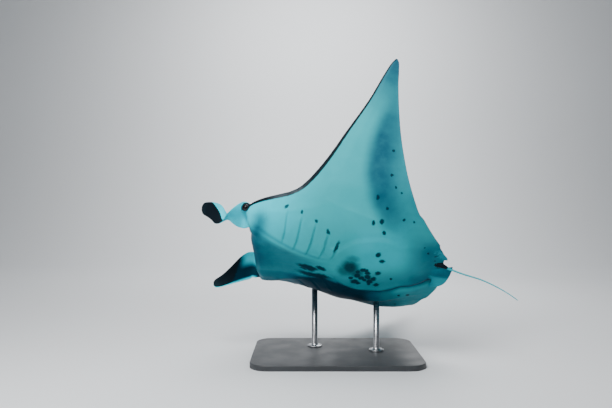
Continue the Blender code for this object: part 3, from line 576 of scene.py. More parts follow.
# Painted shade on the right half, with a painted highlight just outside the crease.
def right_shade(a, b):
    outside = beyond(b, RIGHT_CREASE(a), CREASE_EDGE)
    off = (b - RIGHT_CREASE(a)) / CREASE_LINE_WIDTH
    line = CREASE_LINE_SHADE * hump(off) * window(a, *CREASE_LINE_ALONG)
    light = BEYOND_CREASE_HIGHLIGHT * hump(off, BEYOND_CREASE_HIGHLIGHT_OUT) * window(a, *BEYOND_CREASE_HIGHLIGHT_ALONG)
    flank = FLANK_PAINTED_SHADE(a) * outside * (1 - FLANK_LOSS * ramp(b, *FLANK_FADES))
    inside = (1 - outside) * BESIDE_CREASE_PAINTED_SHADE(a) * ramp(b, *BESIDE_CREASE_GROWS)
    throat = THROAT_PAINTED_SHADE(a) * (1 - ramp(b, *RIGHT_THROAT_ENDS))
    shade_layer = np.maximum(0, flank + inside - light)
    return together(RIGHT_BAND_SHARE * wing_band(a, b), throat, shade_layer, line, tail_root_shade(a, b))


def body_shade(a, b, side):
    return left_shade(a, b) if side > 0 else right_shade(a, b)


print("right flank", round(float(right_shade(np.array([0.6]), np.array([0.3]))[0]), 2), "grey")

# %% [markdown]
# ## Painted light on the belly
# The belly is painted lighter, as painted light, on the side of the head that faces the light, and
# once more in the middle. Both are windows on the flat pattern, this time with side, because only
# the left side is lit.

# %% Painted light
HEAD_PAINTED_LIGHT, HEAD_LIGHT_ENDS, LIT_SIDE = 0.72, (0.10, 0.58), (0.04, 0.34)
MIDDLE_PAINTED_LIGHT, MIDDLE_LIGHT_ALONG = 0.30, (0.70, 0.86, 1.04, 1.18)
MIDDLE_LIGHT_ACROSS = (-0.08, 0.04, 0.20, 0.36)


# Painted light: the belly is made lighter at the lit side of the head and in the middle.
def body_painted_light(a, b, side):
    head = HEAD_PAINTED_LIGHT * (1 - ramp(a, *HEAD_LIGHT_ENDS)) * ramp(side * b, *LIT_SIDE)
    belly = MIDDLE_PAINTED_LIGHT * window(a, *MIDDLE_LIGHT_ALONG) * window(side * b, *MIDDLE_LIGHT_ACROSS)
    return head + belly


print("glow at the left cheek", round(float(body_painted_light(0.1, 0.34, 1)), 2))

# %% [markdown]
# ## Rows along each line
# The skin is a loft of lines that lie side by side. Each line runs from the trailing edge over the
# back to the nose, round the lips and through the mouth, and back under the belly. Rows are packed
# close where the gills and the lips need them and spread out where the wing is plain, which costs
# far fewer faces than one fine grid.

# %% Rows along a line
BELLY_ROWS, BACK_ROWS = 170, 80
belly_packing = smooth_curve(((0, 0), (0.10, 0.018), (0.26, 0.12), (0.74, 0.58), (1, 1)))
back_packing = smooth_curve(((0, 0), (0.20, 0.03), (0.45, 0.25), (1, 1)))
BELLY_SHARES = belly_packing(np.linspace(0, 1, BELLY_ROWS + 1))
BACK_SHARES = back_packing(np.linspace(0, 1, BACK_ROWS + 1))
print("rows on back and belly", BACK_ROWS, BELLY_ROWS)

# %% [markdown]
# ## Half a line of skin
# One function draws the half of a line that lies on the back, or the half on the belly. Beside its
# place, every point keeps a row of marks: where it lies on the flat pattern, whether it is over or
# under, and its tone, painted shade and painted light. The lips part here, and the lower jaw is set
# back a little.

# %% Half a line
TONE, SHADE = 3, 4
MOUTH_HALF_WIDTH, MOUTH_GAPE, MOUTH_CORNERS = 0.20, 0.06, 0.6
UPPER_LIP_FULLNESS, LIP_REACH = 0.35, (0.0, 0.10)
LOWER_JAW_SETBACK, SETBACK_ENDS = 0.018, (0.0, 0.25)
SMOOTH_AT_REAR, SMOOTH_AT_FRONT = 0.03, 0.02


def mark_rows(*columns):
    return np.stack(np.broadcast_arrays(*columns), 1).astype(float)


def mouth_share(b):
    return float(max(0.0, 1 - (b / MOUTH_HALF_WIDTH) ** 2)) ** MOUTH_CORNERS


def half_line(front, rear, side, mouth, over):
    share = BACK_SHARES if over else BELLY_SHARES
    a = front[0] + (rear[0] - front[0]) * share
    b = front[1] + (rear[1] - front[1]) * share
    back_up, belly_down, from_front, from_rear = half_depths(a, b)
    level = middle(a, b, side)
    lip = 1 - ramp(a - front[0], *LIP_REACH)
    gape = MOUTH_GAPE * mouth
    if over:
        up = np.maximum(back_up + lip * gape * UPPER_LIP_FULLNESS, gape / 2 * lip)
        up[0] = gape / 2
        setback, shade = 0.0, 0.0
    else:
        off_rear, off_front = from_rear / SMOOTH_AT_REAR, from_front / SMOOTH_AT_FRONT
        inland = np.clip(off_rear, 0, 1) * np.clip(off_front, 0, 1)
        relief = (gill_relief(a, b, side) + folds(a, b, side)) * inland
        up = -np.maximum(belly_down + relief, gape / 2 * lip)
        up[0] = -gape / 2
        setback = LOWER_JAW_SETBACK * math.sqrt(mouth) * (1 - ramp(a - front[0], *SETBACK_ENDS))
        shade = body_shade(a, b, side)
    tone, painted_light = body_tone(from_front, b, over), body_painted_light(a, b, side)
    marks = mark_rows(a, side * b, float(over), tone, shade, painted_light)
    return swim(a + setback, b, level + up, side), marks


print("mouth", 2 * MOUTH_HALF_WIDTH, "m wide, open by", MOUTH_GAPE, "m")

# %% [markdown]
# ## The mouth
# The open mouth is a wide slot between the head fins. Between the upper and the lower lip each
# line dips back into the head and comes out again, so the pocket is part of the one skin and
# needs no cut. It gets painted shade inwards, and a little painted light. At the mouth's corners
# it shrinks to nothing.

# %% Mouth pocket
POCKET_ROWS, POCKET_SQUARENESS = 12, 0.8
MOUTH_DEPTH = 0.13
IN_MOUTH = 2.0
POCKET_PAINTED_SHADE, POCKET_SHADE_GROWS, POCKET_PAINTED_LIGHT = 0.85, (0.0, 0.06), 0.2


def mouth_pocket(front, side, mouth, lip_tone):
    a, b = front
    turn = np.pi * np.arange(1, POCKET_ROWS + 1) / (POCKET_ROWS + 1)
    level = middle(np.array([a]), np.array([b]), side)[0]
    deep = MOUTH_DEPTH * math.sqrt(mouth) * np.sin(turn) ** POCKET_SQUARENESS
    setback = LOWER_JAW_SETBACK * math.sqrt(mouth) * (1 - np.cos(turn)) / 2
    height = level + MOUTH_GAPE * mouth / 2 * np.cos(turn)
    # Painted shade deepens into the mouth.
    pocket_shade = POCKET_PAINTED_SHADE * ramp(deep, *POCKET_SHADE_GROWS)
    marks = mark_rows(a, side * b, IN_MOUTH, lip_tone, pocket_shade, POCKET_PAINTED_LIGHT)
    return swim(a + setback + deep, np.full_like(turn, b), height, side), marks


def skin_line(front, rear, side, mouth):
    over, over_marks = half_line(front, rear, side, mouth, True)
    under, under_marks = half_line(front, rear, side, mouth, False)
    pocket, pocket_marks = mouth_pocket(front, side, mouth, under_marks[0, TONE])
    return (np.concatenate([over[::-1], pocket, under]),
            np.concatenate([over_marks[::-1], pocket_marks, under_marks]))


print("mouth", MOUTH_DEPTH, "m deep")

# %% [markdown]
# ## Lines side by side
# The first lines fan out over head and body, from the middle to the wing's root. The others lie
# across the wing and crowd together towards its tip, where the outline is narrowest.

# %% Lines of one side
BODY_LINES, WING_LINES = 72, 56
TIP_CROWDING = 1.25


def side_lines(side):
    lines = []
    for share in np.arange(BODY_LINES + 1) / BODY_LINES:
        front = (float(head_side_a(share)), float(head_side_b(share)))
        if share == 1:
            front = (float(leading_edge(WING_ROOT)), WING_ROOT)
        rear = (float(trailing_edge(WING_ROOT * share)), WING_ROOT * share)
        lines.append(skin_line(front, rear, side, mouth_share(front[1])))
    for share in np.arange(1, WING_LINES + 1) / WING_LINES:
        b = WING_ROOT + (WING_END - WING_ROOT) * (1 - (1 - share) ** TIP_CROWDING)
        front, rear = (float(leading_edge(b)), b), (float(trailing_edge(b)), b)
        lines.append(skin_line(front, rear, side, 0.0))
    return lines


right, left = side_lines(-1), side_lines(1)
all_lines = right[:0:-1] + left
print("lines", len(all_lines), "with", len(all_lines[0][0]), "points each")

# %% [markdown]
# ## From rows of points to a mesh
# Rows of points become a closed mesh by joining each row to the next and capping both ends. Points
# that fall together, as at the mouth's corners, are merged before the normals are set. The same
# helper lofts the fins, the tail and the turned steel.

# %% Mesh helpers
MERGE_WITHIN = 0.00002


def mesh_from(bm, name, triangles=False):
    bmesh.ops.recalc_face_normals(bm, faces=bm.faces)
    if triangles:
        bmesh.ops.triangulate(bm, faces=bm.faces)
    mesh = bpy.data.meshes.new(name)
    bm.to_mesh(mesh)
    bm.free()
    return mesh


def join_rows(bm, near, far):
    for j in range(len(near)):
        k = (j + 1) % len(near)
        bm.faces.new((near[j], near[k], far[k], far[j]))


def grid_mesh(rows, name):
    bm = bmesh.new()
    verts = [[bm.verts.new(p) for p in row] for row in rows]
    for near, far in zip(verts, verts[1:]):
        join_rows(bm, near, far)
    bm.faces.new(verts[0])
    bm.faces.new(reversed(verts[-1]))
    bmesh.ops.remove_doubles(bm, verts=bm.verts, dist=MERGE_WITHIN)
    return mesh_from(bm, name, triangles=True)


def new_piece(mesh, name):
    piece = bpy.data.objects.new(name, mesh)
    bpy.context.scene.collection.objects.link(piece)
    return piece


def drop(piece):
    mesh = piece.data
    bpy.data.objects.remove(piece)
    bpy.data.meshes.remove(mesh)


def corners(mesh):
    flat = np.empty(len(mesh.vertices) * 3)
    mesh.vertices.foreach_get("co", flat)
    return flat.reshape(-1, 3)


skin = new_piece(grid_mesh([points for points, _ in all_lines], "manta_skin"), "manta_skin")
mark_points = [np.concatenate([points for points, _ in all_lines])]
mark_values = [np.concatenate([marks for _, marks in all_lines])]
print("body triangles", len(skin.data.polygons))

# %% [markdown]
# ## Head fins
# The two cephalic fins unroll from the corners of the mouth. Each is a ribbon: an oval section
# that follows a short path and turns as it goes, like a strip of leather twisted in the hand. The
# left one twists right over, so its inner face comes to the front. The right one hangs down and
# forward. A station gives forward, left, up, width and turn in degrees.

# %% Paths of the head fins
LEFT_CEPHALIC = (
    (-0.080, 0.215, 0.010, 0.110, -25), (-0.030, 0.228, 0.016, 0.150, -18),
    (0.010, 0.242, 0.018, 0.182, -4), (0.053, 0.252, -0.008, 0.172, 28),
    (0.098, 0.262, -0.036, 0.140, 62), (0.138, 0.258, -0.046, 0.134, 120),
    (0.186, 0.258, -0.020, 0.144, 148), (0.251, 0.250, 0.024, 0.118, 165),
    (0.315, 0.240, 0.050, 0.090, 175), (0.342, 0.240, 0.052, 0.052, 178),
)
RIGHT_CEPHALIC = (
    (-0.070, -0.250, 0.000, 0.100, 152), (-0.025, -0.248, 0.018, 0.140, 156),
    (0.012, -0.234, 0.032, 0.182, 166), (0.045, -0.224, 0.012, 0.198, 174),
    (0.082, -0.222, -0.026, 0.180, 177), (0.115, -0.227, -0.066, 0.148, 174),
    (0.148, -0.232, -0.106, 0.116, 170), (0.182, -0.238, -0.144, 0.090, 165),
    (0.216, -0.240, -0.176, 0.072, 161), (0.247, -0.240, -0.192, 0.054, 158),
)
print("head fins", 1000 * max(s[3] for s in LEFT_CEPHALIC), "mm wide at most on the left")

# %% [markdown]
# ## Lofting a twisted ribbon
# At each step along the path an oval ring is set across it. The ring is cupped, so the fin is
# hollow along its inner face, and it thins and rounds off at the tip. A slight ripple runs along
# both edges. A curve with a bevel would give the same tube, but no marks to paint it by.

# %% Ribbons that twist
FIN_THICKNESS, FIN_THINS, FIN_CUP = 0.022, 0.55, 0.10
FIN_TIP_FROM, FIN_TIP_ROUNDS, FIN_TIP_THINS, FIN_LEAST = 0.93, 0.85, 0.5, 0.02
FIN_RIPPLE, FIN_RIPPLE_RATE, FIN_RIPPLE_AT_EDGE = 0.0016, 46, 3
FIN_WIDE_WAY, FIN_FLAT_WAY, FIN_RING_TILT = (0.0, 0.79, 0.61), (-0.24, 0.59, -0.77), 0.35
FIN_STEPS, FIN_SIDES, FIN_LOOK_AHEAD = 72, 44, 1 / 14


def fin_ring(centre, across, out, share, broad, ripple_shift):
    tip = max(0.0, (share - FIN_TIP_FROM) / (1 - FIN_TIP_FROM))
    half = broad / 2 * math.sqrt(max(FIN_LEAST, 1 - FIN_TIP_ROUNDS * tip**2))
    thick = FIN_THICKNESS * (1 - FIN_THINS * share) * (1 - FIN_TIP_THINS * tip) / 2
    ripple = FIN_RIPPLE * math.sin(share * FIN_RIPPLE_RATE + ripple_shift) * share
    ring, marks = [], []
    for k in range(FIN_SIDES):
        t = 2 * math.pi * k / FIN_SIDES
        cup = FIN_CUP * broad * math.sin(t) ** 2
        edge = abs(math.cos(t)) ** FIN_RIPPLE_AT_EDGE
        height = math.sin(t) * thick + cup + ripple * edge
        ring.append(centre + math.cos(t) * half * across + height * out)
        marks.append((share, math.cos(t), math.sin(t)))
    return ring, marks


def ribbon(stations, ripple_shift):
    rows = np.array(stations, float)
    at = np.linspace(0, 1, len(rows))
    *path, width, turn = (smooth_curve(list(zip(at, column))) for column in rows.T)
    along = np.linspace(0, 1, FIN_STEPS + 1)
    looks = (0.0, FIN_LOOK_AHEAD, -FIN_LOOK_AHEAD)
    centres, ahead_of, behind_of = (place(*(way(along + look) for way in path)) for look in looks)
    wide_way, flat_way = own_axis(*FIN_WIDE_WAY), own_axis(*FIN_FLAT_WAY)
    rings, marks = [], []
    for i, share in enumerate(along.tolist()):
        ahead = vector(ahead_of[i] - behind_of[i]).normalized()
        spin = math.radians(turn(share))
        across = math.cos(spin) * wide_way + math.sin(spin) * flat_way
        across = (across - FIN_RING_TILT * ahead * across.dot(ahead)).normalized()
        out = across.cross(ahead).normalized()
        centre, broad = vector(centres[i]), float(width(share))
        ring, ring_marks = fin_ring(centre, across, out, share, broad, ripple_shift)
        rings.append(ring)
        marks += ring_marks
    return rings, np.array(marks)


print("points on a head fin", (FIN_STEPS + 1) * FIN_SIDES)

# %% [markdown]
# ## White outside, black inside
# A head fin is white outside and black inside. On the left fin the root is white all round, and
# half way along the white wraps over the inner face, up to a slanting border; a little painted shade
# grows towards its tip. On the right fin the inner face is white up to the middle and along one
# edge. It gets deep painted shade, but for that edge and a patch near the root that is left lit.

# %% Paint of the head fins
FIN_MARK = 10.0
INNER_FACE = (-0.25, 0.10)
LEFT_BLACK_FROM, LEFT_BORDER_SOFTNESS = (0.16, 0.30), (-0.10, 0.10)
# A little painted shade on the left fin.
LEFT_FIN_PAINTED_SHADE, LEFT_FIN_SHADE_GROWS = 0.10, (0.3, 0.7)
LEFT_WHITE_BELOW = smooth_curve(
    ((0.40, -1.3), (0.45, -0.4), (0.50, 0.8), (0.54, 0.45), (0.60, 0.05), (0.66, -0.25), (0.73, -0.55),
     (0.83, -1.3))
)
WHITE_EDGE, WHITE_EDGE_FROM = (0.80, 0.90), (0.08, 0.16)
RIGHT_ROOT_SLANT, RIGHT_ROOT_ENDS = 0.10, (0.44, 0.66)
RIGHT_LIT_ALONG, RIGHT_LIT_ENDS_ACROSS = (0.02, 0.14, 0.34, 0.50), (-0.45, 0.15)
# Deep painted shade on the right fin.
RIGHT_FIN_PAINTED_SHADE = 0.98


def left_fin_paint(along, across, inner):
    below = ramp(across - LEFT_WHITE_BELOW(along), *LEFT_BORDER_SOFTNESS)
    tone = inner * ramp(along, *LEFT_BLACK_FROM) * below
    return tone, LEFT_FIN_PAINTED_SHADE * ramp(along, *LEFT_FIN_SHADE_GROWS)


def right_fin_paint(along, across, inner):
    white_edge = ramp(across, *WHITE_EDGE) * ramp(along, *WHITE_EDGE_FROM)
    root = 1 - ramp(along - RIGHT_ROOT_SLANT * across, *RIGHT_ROOT_ENDS)
    lit = window(along, *RIGHT_LIT_ALONG) * (1 - ramp(across, *RIGHT_LIT_ENDS_ACROSS))
    return inner * (1 - white_edge) * (1 - root), RIGHT_FIN_PAINTED_SHADE * (1 - lit) * (1 - white_edge)


print("the left fin's black begins", LEFT_BLACK_FROM[0], "of the way along")

# %% [markdown]
# ## Both head fins
# Every piece that joins the skin adds its points and their marks to two lists. The marks find
# their way back to the skin after the joining, when the points have new numbers.

# %% Make the head fins
HEAD_FINS = {
    "left": (LEFT_CEPHALIC, 0.0, left_fin_paint),
    "right": (RIGHT_CEPHALIC, 1.7, right_fin_paint),
}
# Both head fins are painted in the belly's lit colour all over, as painted light.
FULL_PAINTED_LIGHT = 1.0
head_fins = []
for word, (stations, ripple_shift, paint) in HEAD_FINS.items():
    rings, fin_marks = ribbon(stations, ripple_shift)
    along, across, face = fin_marks.T
    tone, shade = paint(along, across, 1 - ramp(face, *INNER_FACE))
    head_fins.append(new_piece(grid_mesh(rings, word + "_head_fin"), word + "_head_fin"))
    mark_points.append(np.array([p for ring in rings for p in ring]))
    mark_values.append(mark_rows(FIN_MARK + along, across, face, tone, shade, FULL_PAINTED_LIGHT))
    print(word, "head fin", len(head_fins[-1].data.polygons), "triangles")

# %% [markdown]
# ## Tail
# The whip tail is a thin tube along a sagging line, thick only where it leaves the body. Its line
# is given in the ray's own axes, at shares of its length. Rings of points are set square to it.

# %% Tail tube
TAIL_SHARES = (0.0, 0.12, 0.22, 0.38, 0.55, 0.75, 0.88, 1.0)
TAIL_LINE = (
    (-1.255, 0.000, 0.000), (-1.315, -0.004, -0.012), (-1.369, -0.015, -0.028),
    (-1.465, -0.035, -0.044), (-1.561, -0.055, -0.051), (-1.665, -0.080, -0.076),
    (-1.737, -0.100, -0.104), (-1.801, -0.120, -0.137),
)
TAIL_RADII = (
    (0.0, 0.012), (0.06, 0.0175), (0.12, 0.0170), (0.18, 0.0110), (0.22, 0.0075), (0.30, 0.0056),
    (0.70, 0.0042), (1.0, 0.0026),
)
TAIL_STEPS, TAIL_SIDES = 110, 16
TAIL_END, TAIL_LOOK_AHEAD = 0.9995, 0.01
TAIL_TIP_FROM, TAIL_TIP_THICKNESS = 0.99, 0.6
UP = Vector((0, 0, 1))


def tail_tube():
    line = [smooth_curve(list(zip(TAIL_SHARES, column))) for column in zip(*TAIL_LINE)]
    radius = smooth_curve(TAIL_RADII)
    rings = []
    for share in np.linspace(0.0, TAIL_END, TAIL_STEPS):
        looks = (share, share - TAIL_LOOK_AHEAD, share + TAIL_LOOK_AHEAD)
        centre, before, after = (vector(place(*(p(look) for p in line))) for look in looks)
        ahead = (after - before).normalized()
        across = (UP - ahead * UP.dot(ahead)).normalized()
        other = ahead.cross(across)
        thick = float(radius(share)) * (1.0 if share < TAIL_TIP_FROM else TAIL_TIP_THICKNESS)
        angles = (2 * math.pi * k / TAIL_SIDES for k in range(TAIL_SIDES))
        rings.append([centre + thick * (math.cos(t) * across + math.sin(t) * other) for t in angles])
    return rings


tail_steps = [(Vector(far) - Vector(near)).length for near, far in zip(TAIL_LINE, TAIL_LINE[1:])]
print("tail", round(sum(tail_steps), 3), "m long")

# %% [markdown]
# ## Marks of a small piece
# Small pieces don't lie on the flat pattern. Their marks put them far off it, where no spot can
# reach them, and give only tone, painted shade and painted light; each gets a little painted light.
# The tail's root is black like the back, and the rest of it is pale under a little painted shade.

# %% Tail
# Every small piece gets a little painted light, and the tail a little painted shade.
OFF_PATTERN, BACK_SIDE, SMALL_PAINTED_LIGHT = 20.0, 1.0, 0.3
TAIL_ROOT_BLACK_ENDS, TAIL_PAINTED_SHADE = (0.16, 0.24), 0.15


def ring_points(rings):
    return np.array([p for ring in rings for p in ring])


def add_small(rings, name, tone, shade):
    mark_points.append(ring_points(rings))
    a = np.full(len(mark_points[-1]), OFF_PATTERN)
    mark_values.append(mark_rows(a, 0.0, BACK_SIDE, tone, shade, SMALL_PAINTED_LIGHT))
    return new_piece(grid_mesh(rings, name), name)


tail_share = np.repeat(np.linspace(0, 1, TAIL_STEPS), TAIL_SIDES)
tail = add_small(tail_tube(), "tail", 1 - ramp(tail_share, *TAIL_ROOT_BLACK_ENDS), TAIL_PAINTED_SHADE)
print("tail", len(tail.data.polygons), "triangles")

# %% [markdown]
# ## Little fins at the tail
# A small dorsal fin stands at the root of the tail, with a pelvic fin on each side. They are
# blades whose sections shrink towards the tip, so the same loft makes them all. The taper says how
# much of the section is gone at the tip, and the fullness how late it goes.

# %% Blade
BLADE_RINGS, BLADE_SIDES, BLADE_THINS = 20, 36, 0.75


def blade(root, sweep, height, thickness, direction, taper, fullness):
    rings = []
    for share in np.sin(np.linspace(0, math.pi / 2, BLADE_RINGS)).tolist():
        length = (root[1] - root[0]) * (1 - taper * share**fullness)
        start = root[0] + sweep * share + direction * height * share
        side_way = length.cross(direction).normalized()
        ring = []
        for k in range(BLADE_SIDES):
            t = 2 * math.pi * k / BLADE_SIDES
            y = math.sin(t) * thickness / 2 * (1 - BLADE_THINS * share)
            ring.append(start + length * (1 - math.cos(t)) / 2 + side_way * y)
        rings.append(ring)
    return rings


print("points on a blade", BLADE_RINGS * BLADE_SIDES)

# %% [markdown]
# ## Dorsal and pelvic fins
# A fin's root is given by its front and its rear end, as forward, left, up. The dorsal fin leans
# back and is sunk into the body. The pelvic fins lie flat and point to the rear, the right one
# splayed outwards. Both get painted shade, and the right one is darkest beside the tail.

# %% Dorsal and pelvic fins
DORSAL_ROOT = ((-1.185, 0.0, 0.012), (-1.315, 0.0, 0.004))
DORSAL_HEIGHT, DORSAL_SUNK, DORSAL_LEAN = 0.060, 0.030, 0.9
DORSAL_THICKNESS, DORSAL_TAPER, DORSAL_FULLNESS = 0.016, 0.72, 2.2
PELVIC_LENGTH, PELVIC_THICKNESS, PELVIC_TAPER, PELVIC_FULLNESS = 0.145, 0.014, 0.85, 5.0
PELVIC_ROOT = {
    1: ((-1.210, 0.025, -0.004), (-1.210, 0.110, -0.008)),
    -1: ((-1.250, -0.036, -0.018), (-1.244, -0.194, -0.032)),
}
PELVIC_POINTS = {1: (-1.0, 0.08, -0.02), -1: (-0.94, 0.28, -0.06)}
# Painted shade on the pelvic fins, deepest on the right one beside the tail.
LEFT_PELVIC_SHADE = 0.60
RIGHT_PELVIC_SHADE, RIGHT_PELVIC_ROOT_SHADE, RIGHT_PELVIC_ROOT_ENDS = 0.40, 0.24, (1.25, 1.30)
BESIDE_TAIL_SHADE, BESIDE_TAIL = 0.80, (-0.125, -0.080)


def right_pelvic_shade(rings):
    forward, leftward, _ = ((ring_points(rings) - np.array(HEAD_FRONT)) @ BANK).T
    root = RIGHT_PELVIC_ROOT_SHADE * (1 - ramp(-forward, *RIGHT_PELVIC_ROOT_ENDS))
    return np.maximum(BESIDE_TAIL_SHADE * ramp(leftward, *BESIDE_TAIL), RIGHT_PELVIC_SHADE + root)


dorsal_root = [vector(place(*end)) for end in DORSAL_ROOT]
lean = -own_axis(1.0, 0.0, 0.0) * DORSAL_HEIGHT * DORSAL_LEAN
rings = blade(dorsal_root, lean, DORSAL_HEIGHT + DORSAL_SUNK, DORSAL_THICKNESS,
              own_axis(0, 0, 1), DORSAL_TAPER, DORSAL_FULLNESS)
little_fins = [add_small(rings, "dorsal", 1.0, 0.0)]
for side, root in PELVIC_ROOT.items():
    ends = [vector(place(*end)) for end in root]
    aft = own_axis(*PELVIC_POINTS[side]).normalized()
    rings = blade(ends, Vector(), PELVIC_LENGTH, PELVIC_THICKNESS, aft, PELVIC_TAPER, PELVIC_FULLNESS)
    shade = LEFT_PELVIC_SHADE if side > 0 else right_pelvic_shade(rings)
    little_fins.append(add_small(rings, "pelvic", 0.0, shade))
print("little fins", len(little_fins))

# %% [markdown]
# ## Eyelids
# Each eye looks out sideways from the corner of the head, held in a thick soft ring of skin. The
# ring is a torus, a little longer than high. It is joined with the skin, and the join is then
# smoothed, so it looks grown and not glued on.

# %% Lids
EYES_AT = {1: (0.018, 0.314, -0.018), -1: (0.060, 0.300, 0.024)}
EYE_LOOKS_DOWN = math.radians(30)
LID_LENGTH, LID_HEIGHT = 0.064, 0.056
LID_THICKNESS, LID_PLUMPNESS, LID_STANDS_OUT = 0.009, 1.1, 0.007
LID_STEPS, LID_SIDES = 56, 20


def eye_ways(side):
    low, level = math.sin(EYE_LOOKS_DOWN), math.cos(EYE_LOOKS_DOWN)
    return own_axis(1, 0, 0), own_axis(0, side * level, -low), own_axis(0, side * low, level)


def lid_ring(centre, side):
    forward, look, upper = eye_ways(side)
    bm = bmesh.new()
    rings = []
    for i in range(LID_STEPS):
        t = 2 * math.pi * i / LID_STEPS
        ring = []
        for k in range(LID_SIDES):
            s = 2 * math.pi * k / LID_SIDES
            out = LID_THICKNESS * math.cos(s)
            reach = LID_THICKNESS * LID_PLUMPNESS * math.sin(s) + LID_STANDS_OUT
            along = (LID_LENGTH / 2 + out) * math.cos(t)
            high = (LID_HEIGHT / 2 + out) * math.sin(t)
            ring.append(bm.verts.new(centre + along * forward + reach * look + high * upper))
        rings.append(ring)
    for near, far in zip(rings, rings[1:] + rings[:1]):
        join_rows(bm, near, far)
    return new_piece(mesh_from(bm, "lids", triangles=True), "lids")


eye_centres = {side: vector(swim(*at, side)) for side, at in EYES_AT.items()}
lids = [lid_ring(centre, side) for side, centre in eye_centres.items()]
print("eyes at", [[round(v, 3) for v in c] for c in eye_centres.values()])

# %% [markdown]
# ## Tools that hollow the skin
# The eyeball needs a socket, and the head has two nostrils and two small spiracles behind the
# eyes. All are hollows, so their tools are stretched balls that will be taken away from the skin.
# A socket is a hair wider than its eye, or the two surfaces would flicker through each other.

# %% Sockets, nostrils and spiracles
EYE_RADIUS, SOCKET_GAP = 0.030, 0.0006
NOSTRIL_AT, NOSTRIL_RADII = (0.020, 0.208, -0.020), (0.012, 0.016, 0.007)
SPIRACLE_AT, SPIRACLE_RADII = (0.115, 0.262), (0.019, 0.008, 0.012)
PIT_SEGMENTS = (48, 32)


def ball(centre, radii, name, segments, rings):
    bm = bmesh.new()
    bmesh.ops.create_uvsphere(bm, u_segments=segments, v_segments=rings, radius=1)
    for vert in bm.verts:
        x, y, z = vert.co
        vert.co = centre + own_axis(x * radii[0], z * radii[1], y * radii[2])
    return new_piece(mesh_from(bm, name), name)


sockets, pits = [], []
for side, centre in eye_centres.items():
    sockets.append(ball(centre, (EYE_RADIUS + SOCKET_GAP,) * 3, "socket", *PIT_SEGMENTS))
    pits.append(ball(vector(swim(*NOSTRIL_AT, side)), NOSTRIL_RADII, "nostril", *PIT_SEGMENTS))
    a, b = (np.array([v]) for v in SPIRACLE_AT)
    on_back = swim(a, b, middle(a, b, side) + half_depths(a, b)[0], side)[0]
    pits.append(ball(vector(on_back), SPIRACLE_RADII, "spiracle", *PIT_SEGMENTS))
print("hollows", len(sockets + pits))

# %% [markdown]
# ## Joining without a seam
# A Boolean union makes one closed surface, but leaves a hard line at each join. The corners it
# makes are new points, so they are easy to find: they match no point of the pieces. Points near
# them are pulled towards their neighbours a few times, most at the line and less with distance,
# which rounds the joint like living skin. Remeshing would also hide the line, but would blur the
# gills with it.

# %% Boolean steps and local smoothing
ENOUGH_FACES_LEFT = 0.5
SAME_POINT = 0.00005
PULL = 0.5


def boolean(target, tool, operation):
    change = target.modifiers.new("join", "BOOLEAN")
    change.operation = operation
    change.object = tool
    for solver in ("MANIFOLD", "EXACT"):
        change.solver = solver
        bpy.context.view_layer.update()
        graph = bpy.context.evaluated_depsgraph_get()
        mesh = bpy.data.meshes.new_from_object(target.evaluated_get(graph))
        if len(mesh.polygons) > ENOUGH_FACES_LEFT * len(target.data.polygons):
            break
    target.modifiers.clear()
    old = target.data
    target.data = mesh
    bpy.data.meshes.remove(old)


def tree_of(points):
    tree = kdtree.KDTree(len(points))
    for i, p in enumerate(points):
        tree.insert(p, i)
    tree.balance()
    return tree


def neighbour_sums(points, one, two):
    return np.stack([
        np.bincount(one, column[two], len(points)) + np.bincount(two, column[one], len(points))
        for column in points.T
    ], 1)


def relax(mesh, new_points, reach, rounds):
    points = corners(mesh)
    near = tree_of(new_points)
    gap = np.array([near.find(p)[2] for p in points])
    weight = (np.clip(1 - gap / reach, 0, 1) * PULL)[:, None]
    ends = np.empty(len(mesh.edges) * 2, int)
    mesh.edges.foreach_get("vertices", ends)
    one, two = ends.reshape(-1, 2).T
    degree = np.bincount(ends, minlength=len(points))[:, None]
    for _ in range(rounds):
        points = points + weight * (neighbour_sums(points, one, two) / degree - points)
    mesh.vertices.foreach_set("co", points.ravel())
    mesh.update()


def fresh_corners(mesh, known):
    return [p for p in corners(mesh) if known.find(p)[2] > SAME_POINT]


print("points closer than", SAME_POINT, "m count as the same")

# %% [markdown]
# ## The joining itself
# The head fins and the little fins get wide, soft joints, and the tail and the lids only a narrow
# one, so that they keep their shape. The hollows come last, and their rims are eased just enough
# to take the edge off.

# %% Join and hollow
JOINTS = (
    (head_fins, 0.036, 26),
    (little_fins, 0.042, 30),
    ([tail] + lids, 0.018, 8),
)
RIM_REACH, RIM_ROUNDS = 0.004, 3
for pieces, reach, rounds in JOINTS:
    known = tree_of(np.concatenate([corners(piece.data) for piece in [skin] + pieces]))
    for piece in pieces:
        boolean(skin, piece, "UNION")
    joints = fresh_corners(skin.data, known)
    relax(skin.data, joints, reach, rounds)
    print("joined", len(pieces), "pieces along", len(joints), "new points")
before = tree_of(corners(skin.data))
for tool in sockets + pits:
    boolean(skin, tool, "DIFFERENCE")
rims = fresh_corners(skin.data, before)
relax(skin.data, rims, RIM_REACH, RIM_ROUNDS)
print("skin triangles", len(skin.data.polygons), "rim points", len(rims))

# %% [markdown]
# ## Handing the paint maps to the mesh
# The Booleans renumbered every point, so each point of the finished skin takes the marks of the
# nearest point that was drawn. They go into two attributes that the material can read. The lids
# get painted shade by their distance from the eye, as they weren't on the pattern: black at the
# socket's rim, then grey over the lid.

